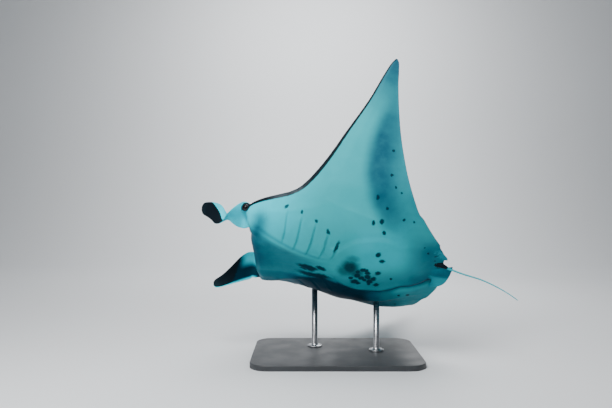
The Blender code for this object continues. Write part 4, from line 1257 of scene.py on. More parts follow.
# %% Attributes on the skin
# Painted shade round the eyes: black at the socket's rim, grey on the lids.
SOCKET_RIM_PAINTED_SHADE, SOCKET_RIM_SHADE_ENDS = 0.9, (0.0015, 0.0030)
LID_PAINTED_SHADE, LID_SHADE_ENDS = 0.75, (0.0030, 0.0120)
source = tree_of(np.concatenate(mark_points))
skin_points = corners(skin.data)
painted = np.concatenate(mark_values)[[source.find(p)[1] for p in skin_points]]
to_eye = [min((Vector(p) - centre).length for centre in eye_centres.values()) for p in skin_points]
from_eye = np.array(to_eye) - EYE_RADIUS
painted[:, TONE] = np.maximum(painted[:, TONE], SOCKET_RIM_PAINTED_SHADE * (1 - ramp(from_eye, *SOCKET_RIM_SHADE_ENDS)))
painted[:, SHADE] = np.maximum(painted[:, SHADE], LID_PAINTED_SHADE * (1 - ramp(from_eye, *LID_SHADE_ENDS)))
for name, columns in (("pattern", painted[:, 0:3]), ("paint", painted[:, 3:6])):
    attribute = skin.data.attributes.new(name, "FLOAT_VECTOR", "POINT")
    attribute.data.foreach_set("vector", np.ascontiguousarray(columns, dtype=np.float32).ravel())
skin.data.shade_smooth()
for piece in head_fins + little_fins + [tail] + lids + sockets + pits:
    drop(piece)
print("paint maps on", len(skin.data.vertices), "points")

# %% [markdown]
# ## Eyes
# The eyeballs are whole balls, sunk in their sockets. They stay pieces of their own, because a
# hard wet eye needs another finish than the skin.

# %% Eyeballs
EYE_SEGMENTS = (64, 48)
EYES = {}
for word, side in (("left", 1), ("right", -1)):
    EYES[word] = ball(eye_centres[side], (EYE_RADIUS,) * 3, word + "_eyeball", *EYE_SEGMENTS)
    EYES[word].data.shade_smooth()
print("eyes", 2000 * EYE_RADIUS, "mm across")

# %% [markdown]
# ## The board
# The ray stands on a flat board with two steel rods. The board has rounded corners and a soft
# upper edge. Bevels on a plain box give both: first the four upright edges, then what is left of
# the upper ones.

# %% Board
BASE_SIZE = (1.15, 0.80, 0.035)
BASE_CORNER, BASE_CORNER_STEPS = 0.12, 24
BASE_EDGE, BASE_EDGE_STEPS = 0.006, 6
SHARP = math.radians(40)


def bevel(bm, edges, offset, segments):
    bmesh.ops.bevel(bm, geom=edges, offset=offset, segments=segments, affect="EDGES", profile=0.5)


def board_mesh():
    bm = bmesh.new()
    bmesh.ops.create_cube(bm, size=1)
    bmesh.ops.scale(bm, vec=BASE_SIZE, verts=bm.verts)
    bmesh.ops.translate(bm, vec=(0, 0, BASE_SIZE[2] / 2), verts=bm.verts)
    middle_height = BASE_SIZE[2] / 2
    upright = [e for e in bm.edges if abs(e.verts[0].co.z - e.verts[1].co.z) > middle_height]
    bevel(bm, upright, BASE_CORNER, BASE_CORNER_STEPS)
    upper = [e for e in bm.edges if min(v.co.z for v in e.verts) > middle_height]
    bevel(bm, upper, BASE_EDGE, BASE_EDGE_STEPS)
    return mesh_from(bm, "display_board")


board = new_piece(board_mesh(), "display_board")
board.data.shade_smooth()
board.data.set_sharp_from_angle(angle=SHARP)
print("board", BASE_SIZE, "m")

# %% [markdown]
# ## Rods in turned flanges
# Each rod stands in a flange, turned on a lathe. Half of its outline is enough: pairs of radius
# and height above the board, swept round the rod's axis. Where the rods stand and how tall they
# are is read from the solids.

# %% Rods
ROD_RADIUS, ROD_SIDES, ROD_SUNK = 0.021, 72, 0.004
FLANGE_RADIUS, FLANGE_SHOULDER = 0.052, ROD_RADIUS + 0.010
FLANGE_PROFILE = (
    (FLANGE_RADIUS - 0.0015, 0.0), (FLANGE_RADIUS, 0.0015), (FLANGE_RADIUS, 0.0070),
    (FLANGE_RADIUS - 0.0015, 0.0085), (FLANGE_SHOULDER, 0.0100), (ROD_RADIUS + 0.004, 0.0130),
    (ROD_RADIUS + 0.0012, 0.0190), (ROD_RADIUS, 0.0210),
)


def turned(profile, x, y, name):
    turns = [2 * math.pi * k / ROD_SIDES for k in range(ROD_SIDES)]
    rings = [
        [Vector((x + radius * math.cos(t), y + radius * math.sin(t), height)) for t in turns]
        for radius, height in profile
    ]
    return new_piece(grid_mesh(rings, name), name)


rods, rod_feet = {}, {}
for word in ("front", "rear"):
    low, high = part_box("stand_rod_" + word)
    rod_feet[word] = Vector(((low.x + high.x) / 2, (low.y + high.y) / 2, low.z))
    profile = [(radius, low.z + height) for radius, height in FLANGE_PROFILE]
    profile.append((ROD_RADIUS, high.z + ROD_SUNK))
    rods[word] = turned(profile, rod_feet[word].x, rod_feet[word].y, word + "_rod")
    rods[word].data.shade_smooth()
    print(word, "rod", round(high.z - low.z, 3), "m tall at", [round(v, 3) for v in rod_feet[word]])

# %% [markdown]
# ## Screws in the flanges, by Geometry Nodes
# Screws repeat round a circle, which is a job for Geometry Nodes: a circle of points, one screw
# head on each, made real at the end. The tree has named inputs for its sizes, so both flanges
# share it.

# %% Screw tree
SCREW_SIDES = 20


def screw_tree():
    tree = bpy.data.node_groups.new("flange_screws", "GeometryNodeTree")
    tree.interface.new_socket("Geometry", in_out="OUTPUT", socket_type="NodeSocketGeometry")
    named = {}
    for name, kind in (("Count", "Int"), ("Ring Radius", "Float"), ("Screw Radius", "Float"),
                       ("Screw Height", "Float"), ("Finish", "Material")):
        socket = tree.interface.new_socket(name, in_out="INPUT", socket_type="NodeSocket" + kind)
        named[name] = socket.identifier
    new = tree.nodes.new
    given, result = new("NodeGroupInput").outputs, new("NodeGroupOutput").inputs
    ring, head = new("GeometryNodeMeshCircle"), new("GeometryNodeMeshCylinder")
    head.inputs["Vertices"].default_value = SCREW_SIDES
    copies, real = new("GeometryNodeInstanceOnPoints"), new("GeometryNodeRealizeInstances")
    coat = new("GeometryNodeSetMaterial")
    for start, end in (
        (given["Count"], ring.inputs["Vertices"]),
        (given["Ring Radius"], ring.inputs["Radius"]),
        (given["Screw Radius"], head.inputs["Radius"]),
        (given["Screw Height"], head.inputs["Depth"]),
        (ring.outputs["Mesh"], copies.inputs["Points"]),
        (head.outputs["Mesh"], copies.inputs["Instance"]),
        (copies.outputs["Instances"], real.inputs["Geometry"]),
        (real.outputs["Geometry"], coat.inputs["Geometry"]),
        (given["Finish"], coat.inputs["Material"]),
        (coat.outputs["Geometry"], result["Geometry"]),
    ):
        tree.links.new(start, end)
    return tree, named


SCREW_TREE, SCREW_INPUTS = screw_tree()
print("screw tree inputs", list(SCREW_INPUTS))

# %% [markdown]
# ## Materials, a node to a line
# Every finish below is built from shader nodes in code. A small helper adds a node, sets its
# values and links what is a socket, so that one line makes one node. A range such as
# (0.3, 0.7, 0.08, 0.16) is read as: while the noise goes from 0.3 to 0.7, the result goes from
# 0.08 to 0.16. Numbers that are the same all over a surface are set straight on the shader.

# %% Node helper
class Tree:
    def __init__(self, tree):
        self.tree = tree

    def fill(self, node, inputs):
        for key, value in inputs.items():
            if isinstance(value, bpy.types.NodeSocket):
                self.tree.links.new(value, node.inputs[key])
            else:
                node.inputs[key].default_value = value
        return node

    def add(self, kind, inputs=(), **settings):
        node = self.tree.nodes.new(kind)
        for key, value in settings.items():
            setattr(node, key, value)
        return self.fill(node, dict(inputs))

    def math(self, operation, *values):
        return self.add("ShaderNodeMath", enumerate(values), operation=operation).outputs[0]

    def vector(self, operation, *values):
        node = self.add("ShaderNodeVectorMath", enumerate(values), operation=operation)
        return node.outputs["Value" if operation in ("LENGTH", "DOT_PRODUCT") else "Vector"]

    def step(self, value, low, high, to_low=0.0, to_high=1.0):
        sizes = {"Value": value, "From Min": low, "From Max": high, "To Min": to_low, "To Max": to_high}
        return self.add("ShaderNodeMapRange", sizes, interpolation_type="SMOOTHSTEP").outputs["Result"]

    def mix(self, factor, one, two):
        colours = [v if isinstance(v, bpy.types.NodeSocket) else (*v, 1.0) for v in (one, two)]
        node = self.add("ShaderNodeMix", data_type="RGBA")
        return self.fill(node, {0: factor, 6: colours[0], 7: colours[1]}).outputs[2]

    def noise(self, vector, scale, detail, rough=0.5, output="Fac"):
        sizes = {"Vector": vector, "Scale": scale, "Detail": detail, "Roughness": rough}
        return self.add("ShaderNodeTexNoise", sizes).outputs[output]

    def mapped(self, vector, **sizes):
        return self.add("ShaderNodeMapping", {"Vector": vector, **sizes}).outputs[0]

    def bump(self, height, strength, distance):
        sizes = {"Height": height, "Strength": strength, "Distance": distance}
        return self.add("ShaderNodeBump", sizes).outputs[0]


def new_material(name):
    material = bpy.data.materials.new(name)
    material.use_nodes = True
    t = Tree(material.node_tree)
    return material, t, material.node_tree.nodes["Principled BSDF"]


def new_group(name, inputs, outputs):
    group = bpy.data.node_groups.new(name, "ShaderNodeTree")
    for way, sockets in (("INPUT", inputs), ("OUTPUT", outputs)):
        for socket, kind in sockets.items():
            group.interface.new_socket(socket, in_out=way, socket_type="NodeSocket" + kind)
    t = Tree(group)
    return t, t.add("NodeGroupInput").outputs, t.add("NodeGroupOutput")


print("node helpers", [name for name in vars(Tree) if not name.startswith("_")])

# %% [markdown]
# ## Grain of the skin
# Manta skin is covered in tiny scales, too small to model. A group mixes small cells with fine
# noise into a height for the bump, and adds a broad mottle that makes the paint uneven. As a group
# it is one box with two outputs, and its fine scale can be set where it is used.

# %% Skin grain group
MOTTLE_NOISE = (9.0, 4.0, 0.6)
FINE_DETAIL, CELL_SHARE, NOISE_SHARE = 2.0, 0.5, 0.5


def skin_grain_group():
    t, given, result = new_group(
        "skin_grain", {"Vector": "Vector", "Fine Scale": "Float"}, {"Height": "Float", "Mottle": "Float"}
    )
    vector, scale = given["Vector"], given["Fine Scale"]
    cells = t.add("ShaderNodeTexVoronoi", {"Vector": vector, "Scale": scale}, feature="F1")
    cells = t.math("MULTIPLY", cells.outputs["Distance"], CELL_SHARE)
    fine = t.math("MULTIPLY", t.noise(vector, scale, FINE_DETAIL), NOISE_SHARE)
    t.fill(result, {"Height": t.math("ADD", cells, fine), "Mottle": t.noise(vector, *MOTTLE_NOISE)})
    return t.tree


SKIN_GRAIN = skin_grain_group()
print("skin grain", len(SKIN_GRAIN.nodes), "nodes")

# %% [markdown]
# ## One blotch
# Every dark mark on the belly is an ellipse on the flat pattern. The group moves the pattern to
# the ellipse's centre, turns it and shrinks it by the radii, so that the distance from the centre
# is 1 at the rim. From the hard core to a little past the rim the mask fades out.

# %% Blotch group
BLOTCH_END = 1.15


def blotch_group():
    t, given, result = new_group(
        "blotch",
        {"Pattern": "Vector", "Centre": "Vector", "Radii": "Vector", "Turn": "Vector",
         "Core": "Float", "Strength": "Float"},
        {"Mask": "Float"},
    )
    local = t.add(
        "ShaderNodeMapping",
        {"Vector": given["Pattern"], "Location": given["Centre"], "Rotation": given["Turn"],
         "Scale": given["Radii"]},
        vector_type="TEXTURE",
    )
    mask = t.step(t.vector("LENGTH", local.outputs[0]), BLOTCH_END, given["Core"])
    t.fill(result, {"Mask": t.math("MULTIPLY", mask, given["Strength"])})
    return t.tree


def blotch(t, pattern, centre, radii, turn, strength, core):
    sizes = {"Pattern": pattern, "Centre": centre, "Radii": radii, "Core": core,
             "Turn": (0.0, 0.0, math.radians(turn)), "Strength": strength}
    return t.add("ShaderNodeGroup", sizes, node_tree=BLOTCH).outputs["Mask"]


BLOTCH = blotch_group()
print("blotch", len(BLOTCH.nodes), "nodes")

# %% [markdown]
# ## The belly's own marks
# Every manta has its own belly marks: long blotches on the chest, a cloud in the middle, small
# round spots towards the tail, and a dark mark at the outer end of each gill slit. Each is given
# by a and b, its long and its short radius, and its turn in degrees. The cloud's soft patches also
# have a strength each.

# %% Chest, cloud and gill ends
CHEST = (
    (0.455, -0.012, 0.085, 0.013, -13), (0.470, -0.020, 0.045, 0.017, -18),
    (0.545, -0.012, 0.040, 0.012, -22), (0.497, -0.077, 0.130, 0.013, -10),
    (0.535, -0.085, 0.060, 0.017, -12), (0.425, -0.030, 0.030, 0.006, -14),
)
CLOUD = (
    (0.740, 0.006, 0.078, 0.086, 10, 0.92), (0.702, -0.020, 0.062, 0.066, 20, 0.66),
    (0.758, 0.074, 0.056, 0.046, 0, 0.46), (0.780, -0.038, 0.070, 0.056, 0, 0.78),
)
GILL_ENDS = (
    (0.315, 0.363, 0.017, 0.010, 30), (0.424, 0.342, 0.011, 0.011, 0), (0.522, 0.306, 0.012, 0.012, 0),
    (0.602, 0.255, 0.013, 0.016, 40), (0.656, 0.170, 0.050, 0.013, 66),
)
print("chest, cloud and gill marks", len(CHEST) + len(CLOUD) + len(GILL_ENDS))

# %% [markdown]
# ## Spots towards the tail
# The small spots behind the cloud crowd into a cluster, and the others are strewn singly over the
# rear of the belly and the wing. They can't be made by noise, because the pattern is what tells
# one manta from another.

# %% Cluster and single spots
CLUSTER = (
    (0.821, -0.016, 0.026, 0.015, 10), (0.840, -0.024, 0.018, 0.013, 0), (0.784, -0.063, 0.030, 0.018, 20),
    (0.808, -0.087, 0.022, 0.015, 50), (0.762, -0.120, 0.030, 0.018, 5), (0.785, -0.135, 0.020, 0.013, -10),
    (0.850, -0.081, 0.026, 0.022, 40), (0.852, -0.045, 0.022, 0.014, 0), (0.859, -0.120, 0.026, 0.019, 60),
    (0.885, -0.099, 0.022, 0.014, 20), (0.789, -0.030, 0.022, 0.015, 30), (0.852, -0.146, 0.014, 0.012, 0),
    (0.750, 0.012, 0.013, 0.012, 0), (0.740, -0.085, 0.018, 0.012, 20), (0.918, -0.048, 0.022, 0.015, 8),
    (0.897, -0.156, 0.023, 0.013, 15), (1.000, -0.105, 0.010, 0.008, 0), (0.921, 0.111, 0.017, 0.015, 0),
    (0.945, 0.055, 0.021, 0.014, 0), (0.825, -0.105, 0.018, 0.010, -30),
)
WING_SPOTS = (
    (0.961, 0.765, 0.011, 0.011, 0), (0.970, 0.594, 0.011, 0.012, 0), (1.003, 0.519, 0.010, 0.010, 0),
    (1.042, 0.486, 0.008, 0.008, 0), (0.898, 0.450, 0.012, 0.015, 0), (0.962, 0.390, 0.012, 0.011, 0),
    (1.070, 0.333, 0.010, 0.010, 0), (1.130, 0.318, 0.008, 0.008, 0), (0.884, 0.315, 0.013, 0.018, 15),
    (0.935, 0.321, 0.015, 0.013, 0), (0.954, 0.261, 0.013, 0.013, 0), (1.205, 0.141, 0.007, 0.006, 0),
    (1.231, 0.099, 0.010, 0.010, 0), (1.265, 0.096, 0.008, 0.008, 0), (1.290, 0.105, 0.007, 0.006, 0),
    (1.279, 0.069, 0.007, 0.007, 0), (1.274, 0.033, 0.008, 0.007, 0), (1.021, -0.261, 0.011, 0.012, 0),
    (1.073, -0.270, 0.012, 0.013, 0), (0.965, -0.339, 0.010, 0.009, 0), (0.930, -0.52, 0.010, 0.010, 0),
    (0.985, -0.60, 0.012, 0.011, 0), (0.880, -0.43, 0.014, 0.012, 0), (0.990, -0.42, 0.010, 0.010, 0),
)
print("spots", len(CLUSTER) + len(WING_SPOTS))

# %% [markdown]
# ## All marks together
# The chest blotches and the cluster were measured on a belly that is seen at a slant, so they are
# widened here. On the right, four of the gill ends are mirrored and a little weaker. Every mark
# gets its strength and how much of it is hard core.

# %% Marks on the belly
CHEST_BREADTH, CLUSTER_LENGTH, CLUSTER_BREADTH = 1.65, 0.98, 1.40
SPOT_LOOK, CLOUD_CORE = (0.95, 0.55), 0.28
LEFT_GILL_LOOK, RIGHT_GILL_LOOK, RIGHT_GILL_ENDS = (0.9, 0.5), (0.8, 0.5), 4


def widened(marks, length, breadth):
    return [
        (a, b, long * length, short * breadth, turn, *SPOT_LOOK)
        for a, b, long, short, turn in marks
    ]


MARKS = [(*mark, *SPOT_LOOK) for mark in WING_SPOTS] + [(*mark, CLOUD_CORE) for mark in CLOUD]
MARKS += widened(CHEST, 1.0, CHEST_BREADTH) + widened(CLUSTER, CLUSTER_LENGTH, CLUSTER_BREADTH)
MARKS += [(*mark, *LEFT_GILL_LOOK) for mark in GILL_ENDS]
MARKS += [
    (a, -b, long, short, -turn, *RIGHT_GILL_LOOK)
    for a, b, long, short, turn in GILL_ENDS[:RIGHT_GILL_ENDS]
]
print("belly marks", len(MARKS))

# %% [markdown]
# ## The painted belly
# The belly is a pale teal, painted lighter where it has painted light and mottled where it doesn't.
# The painted shade, with the wing band's own grey, lies over it like thin glazes, and where it is
# thickest it turns to a deep blue-black shade. Last come the marks. Their borders are broken by
# moving the pattern a little with noise before the marks are looked up.

# %% Belly paint
# The second belly colour is the lit colour of painted light.
BELLY, BELLY_LIT = (0.020, 0.352, 0.392), (0.008, 0.700, 0.860)
BELLY_MOTTLE, MOTTLE_SHOWS = (0.016, 0.290, 0.330), (0.42, 0.70, 0.0, 0.22)
# The first of these colours is painted shade, partly the wing band's own grey, the second deep painted
# shade, and the third the spots' own colour.
GREY_AND_SHADE, DEEP_SHADE, SPOT = (0.006, 0.072, 0.116), (0.001, 0.016, 0.032), (0.002, 0.014, 0.029)
SHADE_VARIES, SHADE_FULL = (0.2, 0.8, 0.86, 1.08), 0.86
WOBBLE_NOISE, WOBBLE_REACH = (42.0, 3.0), 0.022
ON_BELLY_ONLY = 0.15


def belly_paint(t, shade, painted_light, mottle):
    colour = t.mix(painted_light, BELLY, BELLY_LIT)
    colour = t.mix(t.step(mottle, *MOTTLE_SHOWS), colour, BELLY_MOTTLE)
    # Painted shade is laid over the belly here, turning deep where it is full.
    shade_layer = t.math("DIVIDE", t.math("MULTIPLY", shade, t.step(mottle, *SHADE_VARIES)), SHADE_FULL)
    colour = t.mix(t.math("MINIMUM", shade_layer, 1.0), colour, GREY_AND_SHADE)
    return t.mix(t.step(shade, SHADE_FULL, 1.0), colour, DEEP_SHADE)


def belly_marks(t, at, pattern):
    wobble = t.vector("SUBTRACT", t.noise(at, *WOBBLE_NOISE, output="Color"), (0.5, 0.5, 0.5))
    wobble = t.vector("MULTIPLY", wobble, (WOBBLE_REACH, WOBBLE_REACH, 0.0))
    moved = t.vector("ADD", pattern, wobble)
    marks = 0.0
    for a, b, long, short, turn, strength, core in MARKS:
        mask = blotch(t, moved, (a, b, 0.0), (long, short, ON_BELLY_ONLY), turn, strength, core)
        marks = t.math("MAXIMUM", mask, marks)
    return marks


print("belly colour", BELLY, "under a wash of", GREY_AND_SHADE)

# %% [markdown]
# ## The painted back
# The back is black with a pale patch on each shoulder, as on most mantas. The patch is the same
# blotch again, on a pattern whose sides are folded together, so that one patch serves both. Where
# black meets white the border is ragged, and on the head fins it runs out in streaks.

# %% Back and border
BACK, SHOULDER_PATCH = (0.004, 0.006, 0.010), (0.075, 0.095, 0.110)
SHOULDER_AT, SHOULDER_RADII, SHOULDER_TURN = (0.40, 0.30, 0.0), (0.20, 0.26, 1.0), 35
SHOULDER_LOOK, SHOULDER_MOTTLE = (0.75, 0.55), (0.3, 0.6)
RAGGED_NOISE, RAGGED_REACH = (46.0, 4.0, 0.6), 0.35
STREAK_STRETCH, STREAK_NOISE, STREAK_REACH = (5.0, 11.0, 0.0), (1.6, 4.0, 0.65), 1.5
FIN_MARKS_START, FIN_MARKS_END = FIN_MARK - 0.5, FIN_MARK + 1.5
BORDER, BORDER_TO_ONE = (0.34, 0.66), 4.0


def back_paint(t, a, b, mottle):
    folded = t.add("ShaderNodeCombineXYZ", {0: a, 1: t.math("ABSOLUTE", b), 2: 0.0}).outputs[0]
    patch = blotch(t, folded, SHOULDER_AT, SHOULDER_RADII, SHOULDER_TURN, *SHOULDER_LOOK)
    patch = t.math("MULTIPLY", patch, t.step(mottle, *SHOULDER_MOTTLE))
    return t.mix(patch, BACK, SHOULDER_PATCH)


def around_middle(t, noise, reach):
    return t.math("MULTIPLY", t.math("SUBTRACT", noise, 0.5), reach)


def is_back(t, at, pattern, a, tone):
    ragged = around_middle(t, t.noise(at, *RAGGED_NOISE), RAGGED_REACH)
    streaks = t.noise(t.mapped(pattern, Scale=STREAK_STRETCH), *STREAK_NOISE)
    on_fin = t.math("MULTIPLY", t.math("GREATER_THAN", a, FIN_MARKS_START),
                    t.math("LESS_THAN", a, FIN_MARKS_END))
    streaks = t.math("MULTIPLY", around_middle(t, streaks, STREAK_REACH), on_fin)
    at_border = t.math("MULTIPLY", t.math("MULTIPLY", tone, t.math("SUBTRACT", 1.0, tone)),
                       BORDER_TO_ONE)
    edge = t.math("ADD", t.math("ADD", tone, ragged), t.math("MULTIPLY", streaks, at_border))
    return t.step(edge, *BORDER)


print("back colour", BACK)

# %% [markdown]
# ## Skin
# The skin's material reads both attributes, paints belly and back, and lays one over the other.
# Wet skin has a soft, even sheen: fairly rough, with a weak highlight that takes the colour of the
# belly. Strong gloss would make it look like plastic.

# %% Skin material
GRAIN_SCALE, GRAIN_BUMP = 260.0, (0.18, 0.0012)
SKIN_ROUGHNESS = (0.3, 0.7, 0.50, 0.62)
SKIN_SPECULAR, SKIN_SPECULAR_TINT = 0.14, (0.30, 0.85, 1.0, 1.0)


def skin_material():
    material, t, shader = new_material("manta_skin")
    pattern, paint = (
        t.add("ShaderNodeAttribute", attribute_name=name).outputs["Vector"]
        for name in ("pattern", "paint")
    )
    a, b, _ = t.add("ShaderNodeSeparateXYZ", {0: pattern}).outputs
    tone, shade, painted_light = t.add("ShaderNodeSeparateXYZ", {0: paint}).outputs
    at = t.add("ShaderNodeTexCoord").outputs["Object"]
    sizes = {"Vector": at, "Fine Scale": GRAIN_SCALE}
    grain = t.add("ShaderNodeGroup", sizes, node_tree=SKIN_GRAIN).outputs
    belly = belly_paint(t, shade, painted_light, grain["Mottle"])
    belly = t.mix(belly_marks(t, at, pattern), belly, SPOT)
    back = back_paint(t, a, b, grain["Mottle"])
    t.fill(shader, {
        "Base Color": t.mix(is_back(t, at, pattern, a, tone), belly, back),
        "Roughness": t.step(grain["Mottle"], *SKIN_ROUGHNESS),
        "Normal": t.bump(grain["Height"], *GRAIN_BUMP),
        "Specular IOR Level": SKIN_SPECULAR,
        "Specular Tint": SKIN_SPECULAR_TINT,
    })
    return material


skin.data.materials.clear()
skin.data.materials.append(skin_material())
print("skin nodes", len(skin.data.materials[0].node_tree.nodes))

# %% [markdown]
# ## Eyes, dark and wet
# A manta's eye is nearly black: a black pupil in a dark iris with faint streaks, and a dark white
# round it. Rings round the direction of gaze give all three, so no map has to be fitted to the
# ball. A thin clear coat makes it wet, weak enough that it doesn't mirror the whole studio.

# %% Eye material
IRIS_DARK, IRIS_LIGHT = (0.006, 0.009, 0.014), (0.022, 0.028, 0.034)
EYE_WHITE, PUPIL = (0.005, 0.010, 0.016), (0.002, 0.002, 0.003)
IRIS_NOISE, IRIS_STREAKS = (9.0, 5.0), (0.35, 0.65)
IRIS_RIM, PUPIL_RIM = (0.52, 0.60), (0.84, 0.87)
EYE_ROUGHNESS = (0.3, 0.7, 0.08, 0.16)
EYE_SPECULAR, EYE_COAT, EYE_COAT_ROUGHNESS = 0.12, 0.10, 0.10


def eye_material(centre, look):
    material, t, shader = new_material("manta_eye")
    at = t.add("ShaderNodeTexCoord").outputs["Object"]
    sizes = {"Vector": at, "Location": centre, "Scale": (EYE_RADIUS,) * 3}
    local = t.add("ShaderNodeMapping", sizes, vector_type="TEXTURE").outputs[0]
    facing = t.vector("DOT_PRODUCT", local, look)
    streaks = t.noise(local, *IRIS_NOISE)
    iris = t.mix(t.step(streaks, *IRIS_STREAKS), IRIS_DARK, IRIS_LIGHT)
    around = t.mix(t.step(facing, *IRIS_RIM), EYE_WHITE, iris)
    t.fill(shader, {
        "Base Color": t.mix(t.step(facing, *PUPIL_RIM), around, PUPIL),
        "Roughness": t.step(streaks, *EYE_ROUGHNESS),
        "Specular IOR Level": EYE_SPECULAR,
        "Coat Weight": EYE_COAT,
        "Coat Roughness": EYE_COAT_ROUGHNESS,
    })
    return material


for word, side in (("left", 1), ("right", -1)):
    EYES[word].data.materials.append(eye_material(eye_centres[side], eye_ways(side)[1]))
print("eye nodes", len(EYES["left"].data.materials[0].node_tree.nodes))

# %% [markdown]
# ## Painted board and brushed steel
# The board is sprayed a dark satin grey: fine orange peel in the bump, and a little dust that
# varies colour and gloss. The rods are brushed round their axis, as on a lathe, so noise squeezed
# along them gives fine rings of scratches. Both finishes vary between two colours and two
# roughnesses, so one function makes either.

# %% Stand materials
FINISH_VARIES = (0.3, 0.7)
BOARD_COLOURS, BOARD_ROUGHNESS = ((0.030, 0.033, 0.037), (0.040, 0.044, 0.049)), (0.42, 0.55)
PEEL_NOISE, DUST_NOISE, PEEL_BUMP = (420.0, 2.0), (7.0, 4.0), (0.12, 0.0006)
STEEL_COLOURS, STEEL_ROUGHNESS = ((0.47, 0.48, 0.50), (0.60, 0.61, 0.63)), (0.24, 0.38)
BRUSH_SQUEEZE, BRUSH_NOISE, BRUSH_BUMP = (1.0, 1.0, 60.0), (30.0, 4.0, 0.6), (0.10, 0.0004)


def finish(t, shader, uneven, colours, roughness, bump, metallic):
    t.fill(shader, {
        "Base Color": t.mix(t.step(uneven, *FINISH_VARIES), *colours),
        "Roughness": t.step(uneven, *FINISH_VARIES, *roughness),
        "Normal": bump,
        "Metallic": metallic,
    })


def board_material():
    material, t, shader = new_material("stand_paint")
    at = t.add("ShaderNodeTexCoord").outputs["Object"]
    peel, dust = t.noise(at, *PEEL_NOISE), t.noise(at, *DUST_NOISE)
    finish(t, shader, dust, BOARD_COLOURS, BOARD_ROUGHNESS, t.bump(peel, *PEEL_BUMP), 0.0)
    return material


def steel_material():
    material, t, shader = new_material("brushed_steel")
    at = t.add("ShaderNodeTexCoord").outputs["Object"]
    lines = t.noise(t.mapped(at, Scale=BRUSH_SQUEEZE), *BRUSH_NOISE)
    finish(t, shader, lines, STEEL_COLOURS, STEEL_ROUGHNESS, t.bump(lines, *BRUSH_BUMP), 1.0)
    return material


PAINT, STEEL = board_material(), steel_material()
board.data.materials.append(PAINT)
for rod in rods.values():
    rod.data.materials.append(STEEL)
print("stand finishes", PAINT.name, STEEL.name)

# %% [markdown]
# ## Screws in place
# The tree runs on an empty mesh, once for each flange. Its result is turned into a plain mesh and
# moved to the flange, and the modifier goes, so that the screws are ordinary pieces from here on.

# %% Screws
SCREW_COUNT, SCREW_RADIUS, SCREW_HEIGHT, SCREW_LEVEL = 4, 0.0045, 0.0030, 0.0105
SCREW_RING = (FLANGE_RADIUS + FLANGE_SHOULDER) / 2
screws = {}
for word, foot in rod_feet.items():
    screws[word] = new_piece(bpy.data.meshes.new(word + "_screws"), word + "_screws")
    change = screws[word].modifiers.new("screws", "NODES")
    change.node_group = SCREW_TREE
    for name, value in (("Count", SCREW_COUNT), ("Ring Radius", SCREW_RING), ("Finish", STEEL),
                        ("Screw Radius", SCREW_RADIUS), ("Screw Height", SCREW_HEIGHT)):
        change[SCREW_INPUTS[name]] = value
    bpy.context.view_layer.update()
    graph = bpy.context.evaluated_depsgraph_get()
    mesh = bpy.data.meshes.new_from_object(screws[word].evaluated_get(graph))
    screws[word].modifiers.clear()
    screws[word].data = mesh
    mesh.transform(Matrix.Translation((foot.x, foot.y, foot.z + SCREW_LEVEL)))
    print(word, "screws", len(mesh.polygons), "faces")

# %% [markdown]
# ## Everything rides on the one body
# The ray is a still model without joints, so every piece rides on the root. The skin stands for
# all flesh nodes at once, which is why no seam can show between them.

# %% Pieces and what they replace
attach(skin, "root")
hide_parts("head", "trunk", "left_pectoral_fin", "right_pectoral_fin", "left_cephalic_fin",
            "right_cephalic_fin", "left_pelvic_fin", "right_pelvic_fin", "dorsal_fin", "tail_root",
            "tail_middle", "tail_tip")
for word, eye in EYES.items():
    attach(eye, "root")
    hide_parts(word + "_eye")
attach(board, "root")
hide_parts("stand_base")
for word in rods:
    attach(rods[word], "root")
    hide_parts("stand_rod_" + word)
    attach(screws[word], "root")
print("pieces", 2 + len(EYES) + len(rods) + len(screws))

# %% [markdown]
# ## Floor and wall
# A photographer's paper sweep hides the horizon: a pale floor that curves up into a pale wall. It
# is one strip, drawn from the side and pulled out to both sides.

# %% Paper sweep
SWEEP_HALF, SWEEP_NEAR, SWEEP_FAR, SWEEP_TOP = 16.0, -9.0, 8.6, 10.0
SWEEP_RADIUS, SWEEP_STEPS = 3.2, 12
SWEEP_COLOUR, SWEEP_ROUGHNESS = (0.74, 0.76, 0.78, 1.0), 0.9


def sweep_mesh():
    line = [(SWEEP_NEAR, 0.0)]
    for k in range(SWEEP_STEPS + 1):
        t = math.pi / 2 * k / SWEEP_STEPS
        line.append((SWEEP_FAR - SWEEP_RADIUS + SWEEP_RADIUS * math.sin(t),
                     SWEEP_RADIUS - SWEEP_RADIUS * math.cos(t)))
    line.append((SWEEP_FAR, SWEEP_TOP))
    count = len(line)
    points = [(x, y, z) for x in (-SWEEP_HALF, SWEEP_HALF) for y, z in line]
    faces = [(k, count + k, count + k + 1, k + 1) for k in range(count - 1)]
    mesh = bpy.data.meshes.new("studio_sweep")
    mesh.from_pydata(points, [], faces)
    mesh.shade_smooth()
    return mesh


sweep = new_piece(sweep_mesh(), "studio_sweep")
paper, t, shader = new_material("studio_paper")
t.fill(shader, {"Base Color": SWEEP_COLOUR, "Roughness": SWEEP_ROUGHNESS})
sweep.data.materials.append(paper)
print("sweep", 2 * SWEEP_HALF, "m wide")

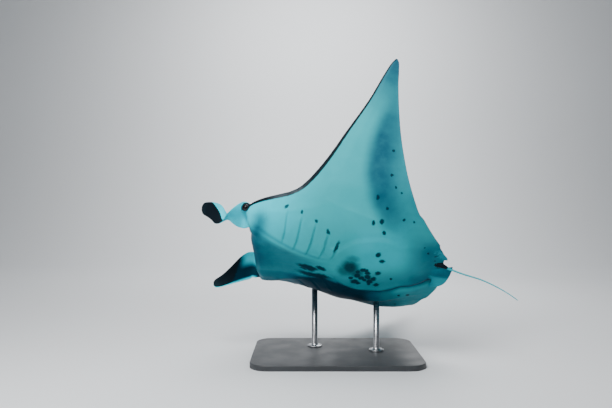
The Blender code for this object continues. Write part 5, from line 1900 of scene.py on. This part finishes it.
# %% [markdown]
# ## Lights
# One big soft light hangs above the ray on the viewer's side, with a weak fill from the left. The
# wall has a light of its own, so it stays pale, and two more light the back from above and behind,
# for the other views. Each is given by its place, its target, its width and its watts.

# %% Lights
LIGHTS = {
    "key": ((-1.4, -2.6, 4.2), (0.0, 0.0, 1.0), 2.2, 260),
    "fill": ((-2.7, -2.2, 1.0), (-0.5, 0.0, 0.95), 1.2, 16),
    "wall": ((0.0, 4.4, 5.2), (0.0, 8.6, 2.0), 4.0, 420),
    "top": ((0.3, 0.6, 4.6), (0.0, 0.0, 0.8), 2.6, 110),
    "back": ((1.2, 3.4, 3.0), (0.0, 0.0, 1.0), 2.0, 50),
}
ROOM_COLOUR, ROOM_STRENGTH = (0.86, 0.93, 1.0, 1.0), 0.18
for name, (at, target, size, watts) in LIGHTS.items():
    lamp = bpy.data.lights.new(name, "AREA")
    lamp.shape, lamp.size, lamp.energy = "DISK", size, watts
    holder = bpy.data.objects.new(name, lamp)
    bpy.context.scene.collection.objects.link(holder)
    holder.location = at
    holder.rotation_euler = (Vector(target) - Vector(at)).to_track_quat("-Z", "Y").to_euler()
world = bpy.data.worlds.new("studio")
world.use_nodes = True
room = world.node_tree.nodes["Background"].inputs
room["Color"].default_value, room["Strength"].default_value = ROOM_COLOUR, ROOM_STRENGTH
bpy.context.scene.world = world
print("lights", len(LIGHTS))

# %% [markdown]
# ## Camera
# The camera stands level with the middle of the ray and looks straight along +Y, with a lens that
# is a little wider than the eye. From nearer by, the raised wing would loom.

# %% Camera
CAMERA_AT, LENS, SENSOR, SEES_TO = (-0.207, -4.162, 1.060), 35.0, 36.0, 60.0
lens = bpy.data.cameras.new("view")
lens.lens, lens.sensor_width, lens.clip_end = LENS, SENSOR, SEES_TO
camera = bpy.data.objects.new("view", lens)
bpy.context.scene.collection.objects.link(camera)
camera.location = CAMERA_AT
camera.rotation_euler = (math.radians(90), 0.0, 0.0)
bpy.context.scene.camera = camera
print("camera", -CAMERA_AT[1], "m in front of the stand's middle")

# %% [markdown]
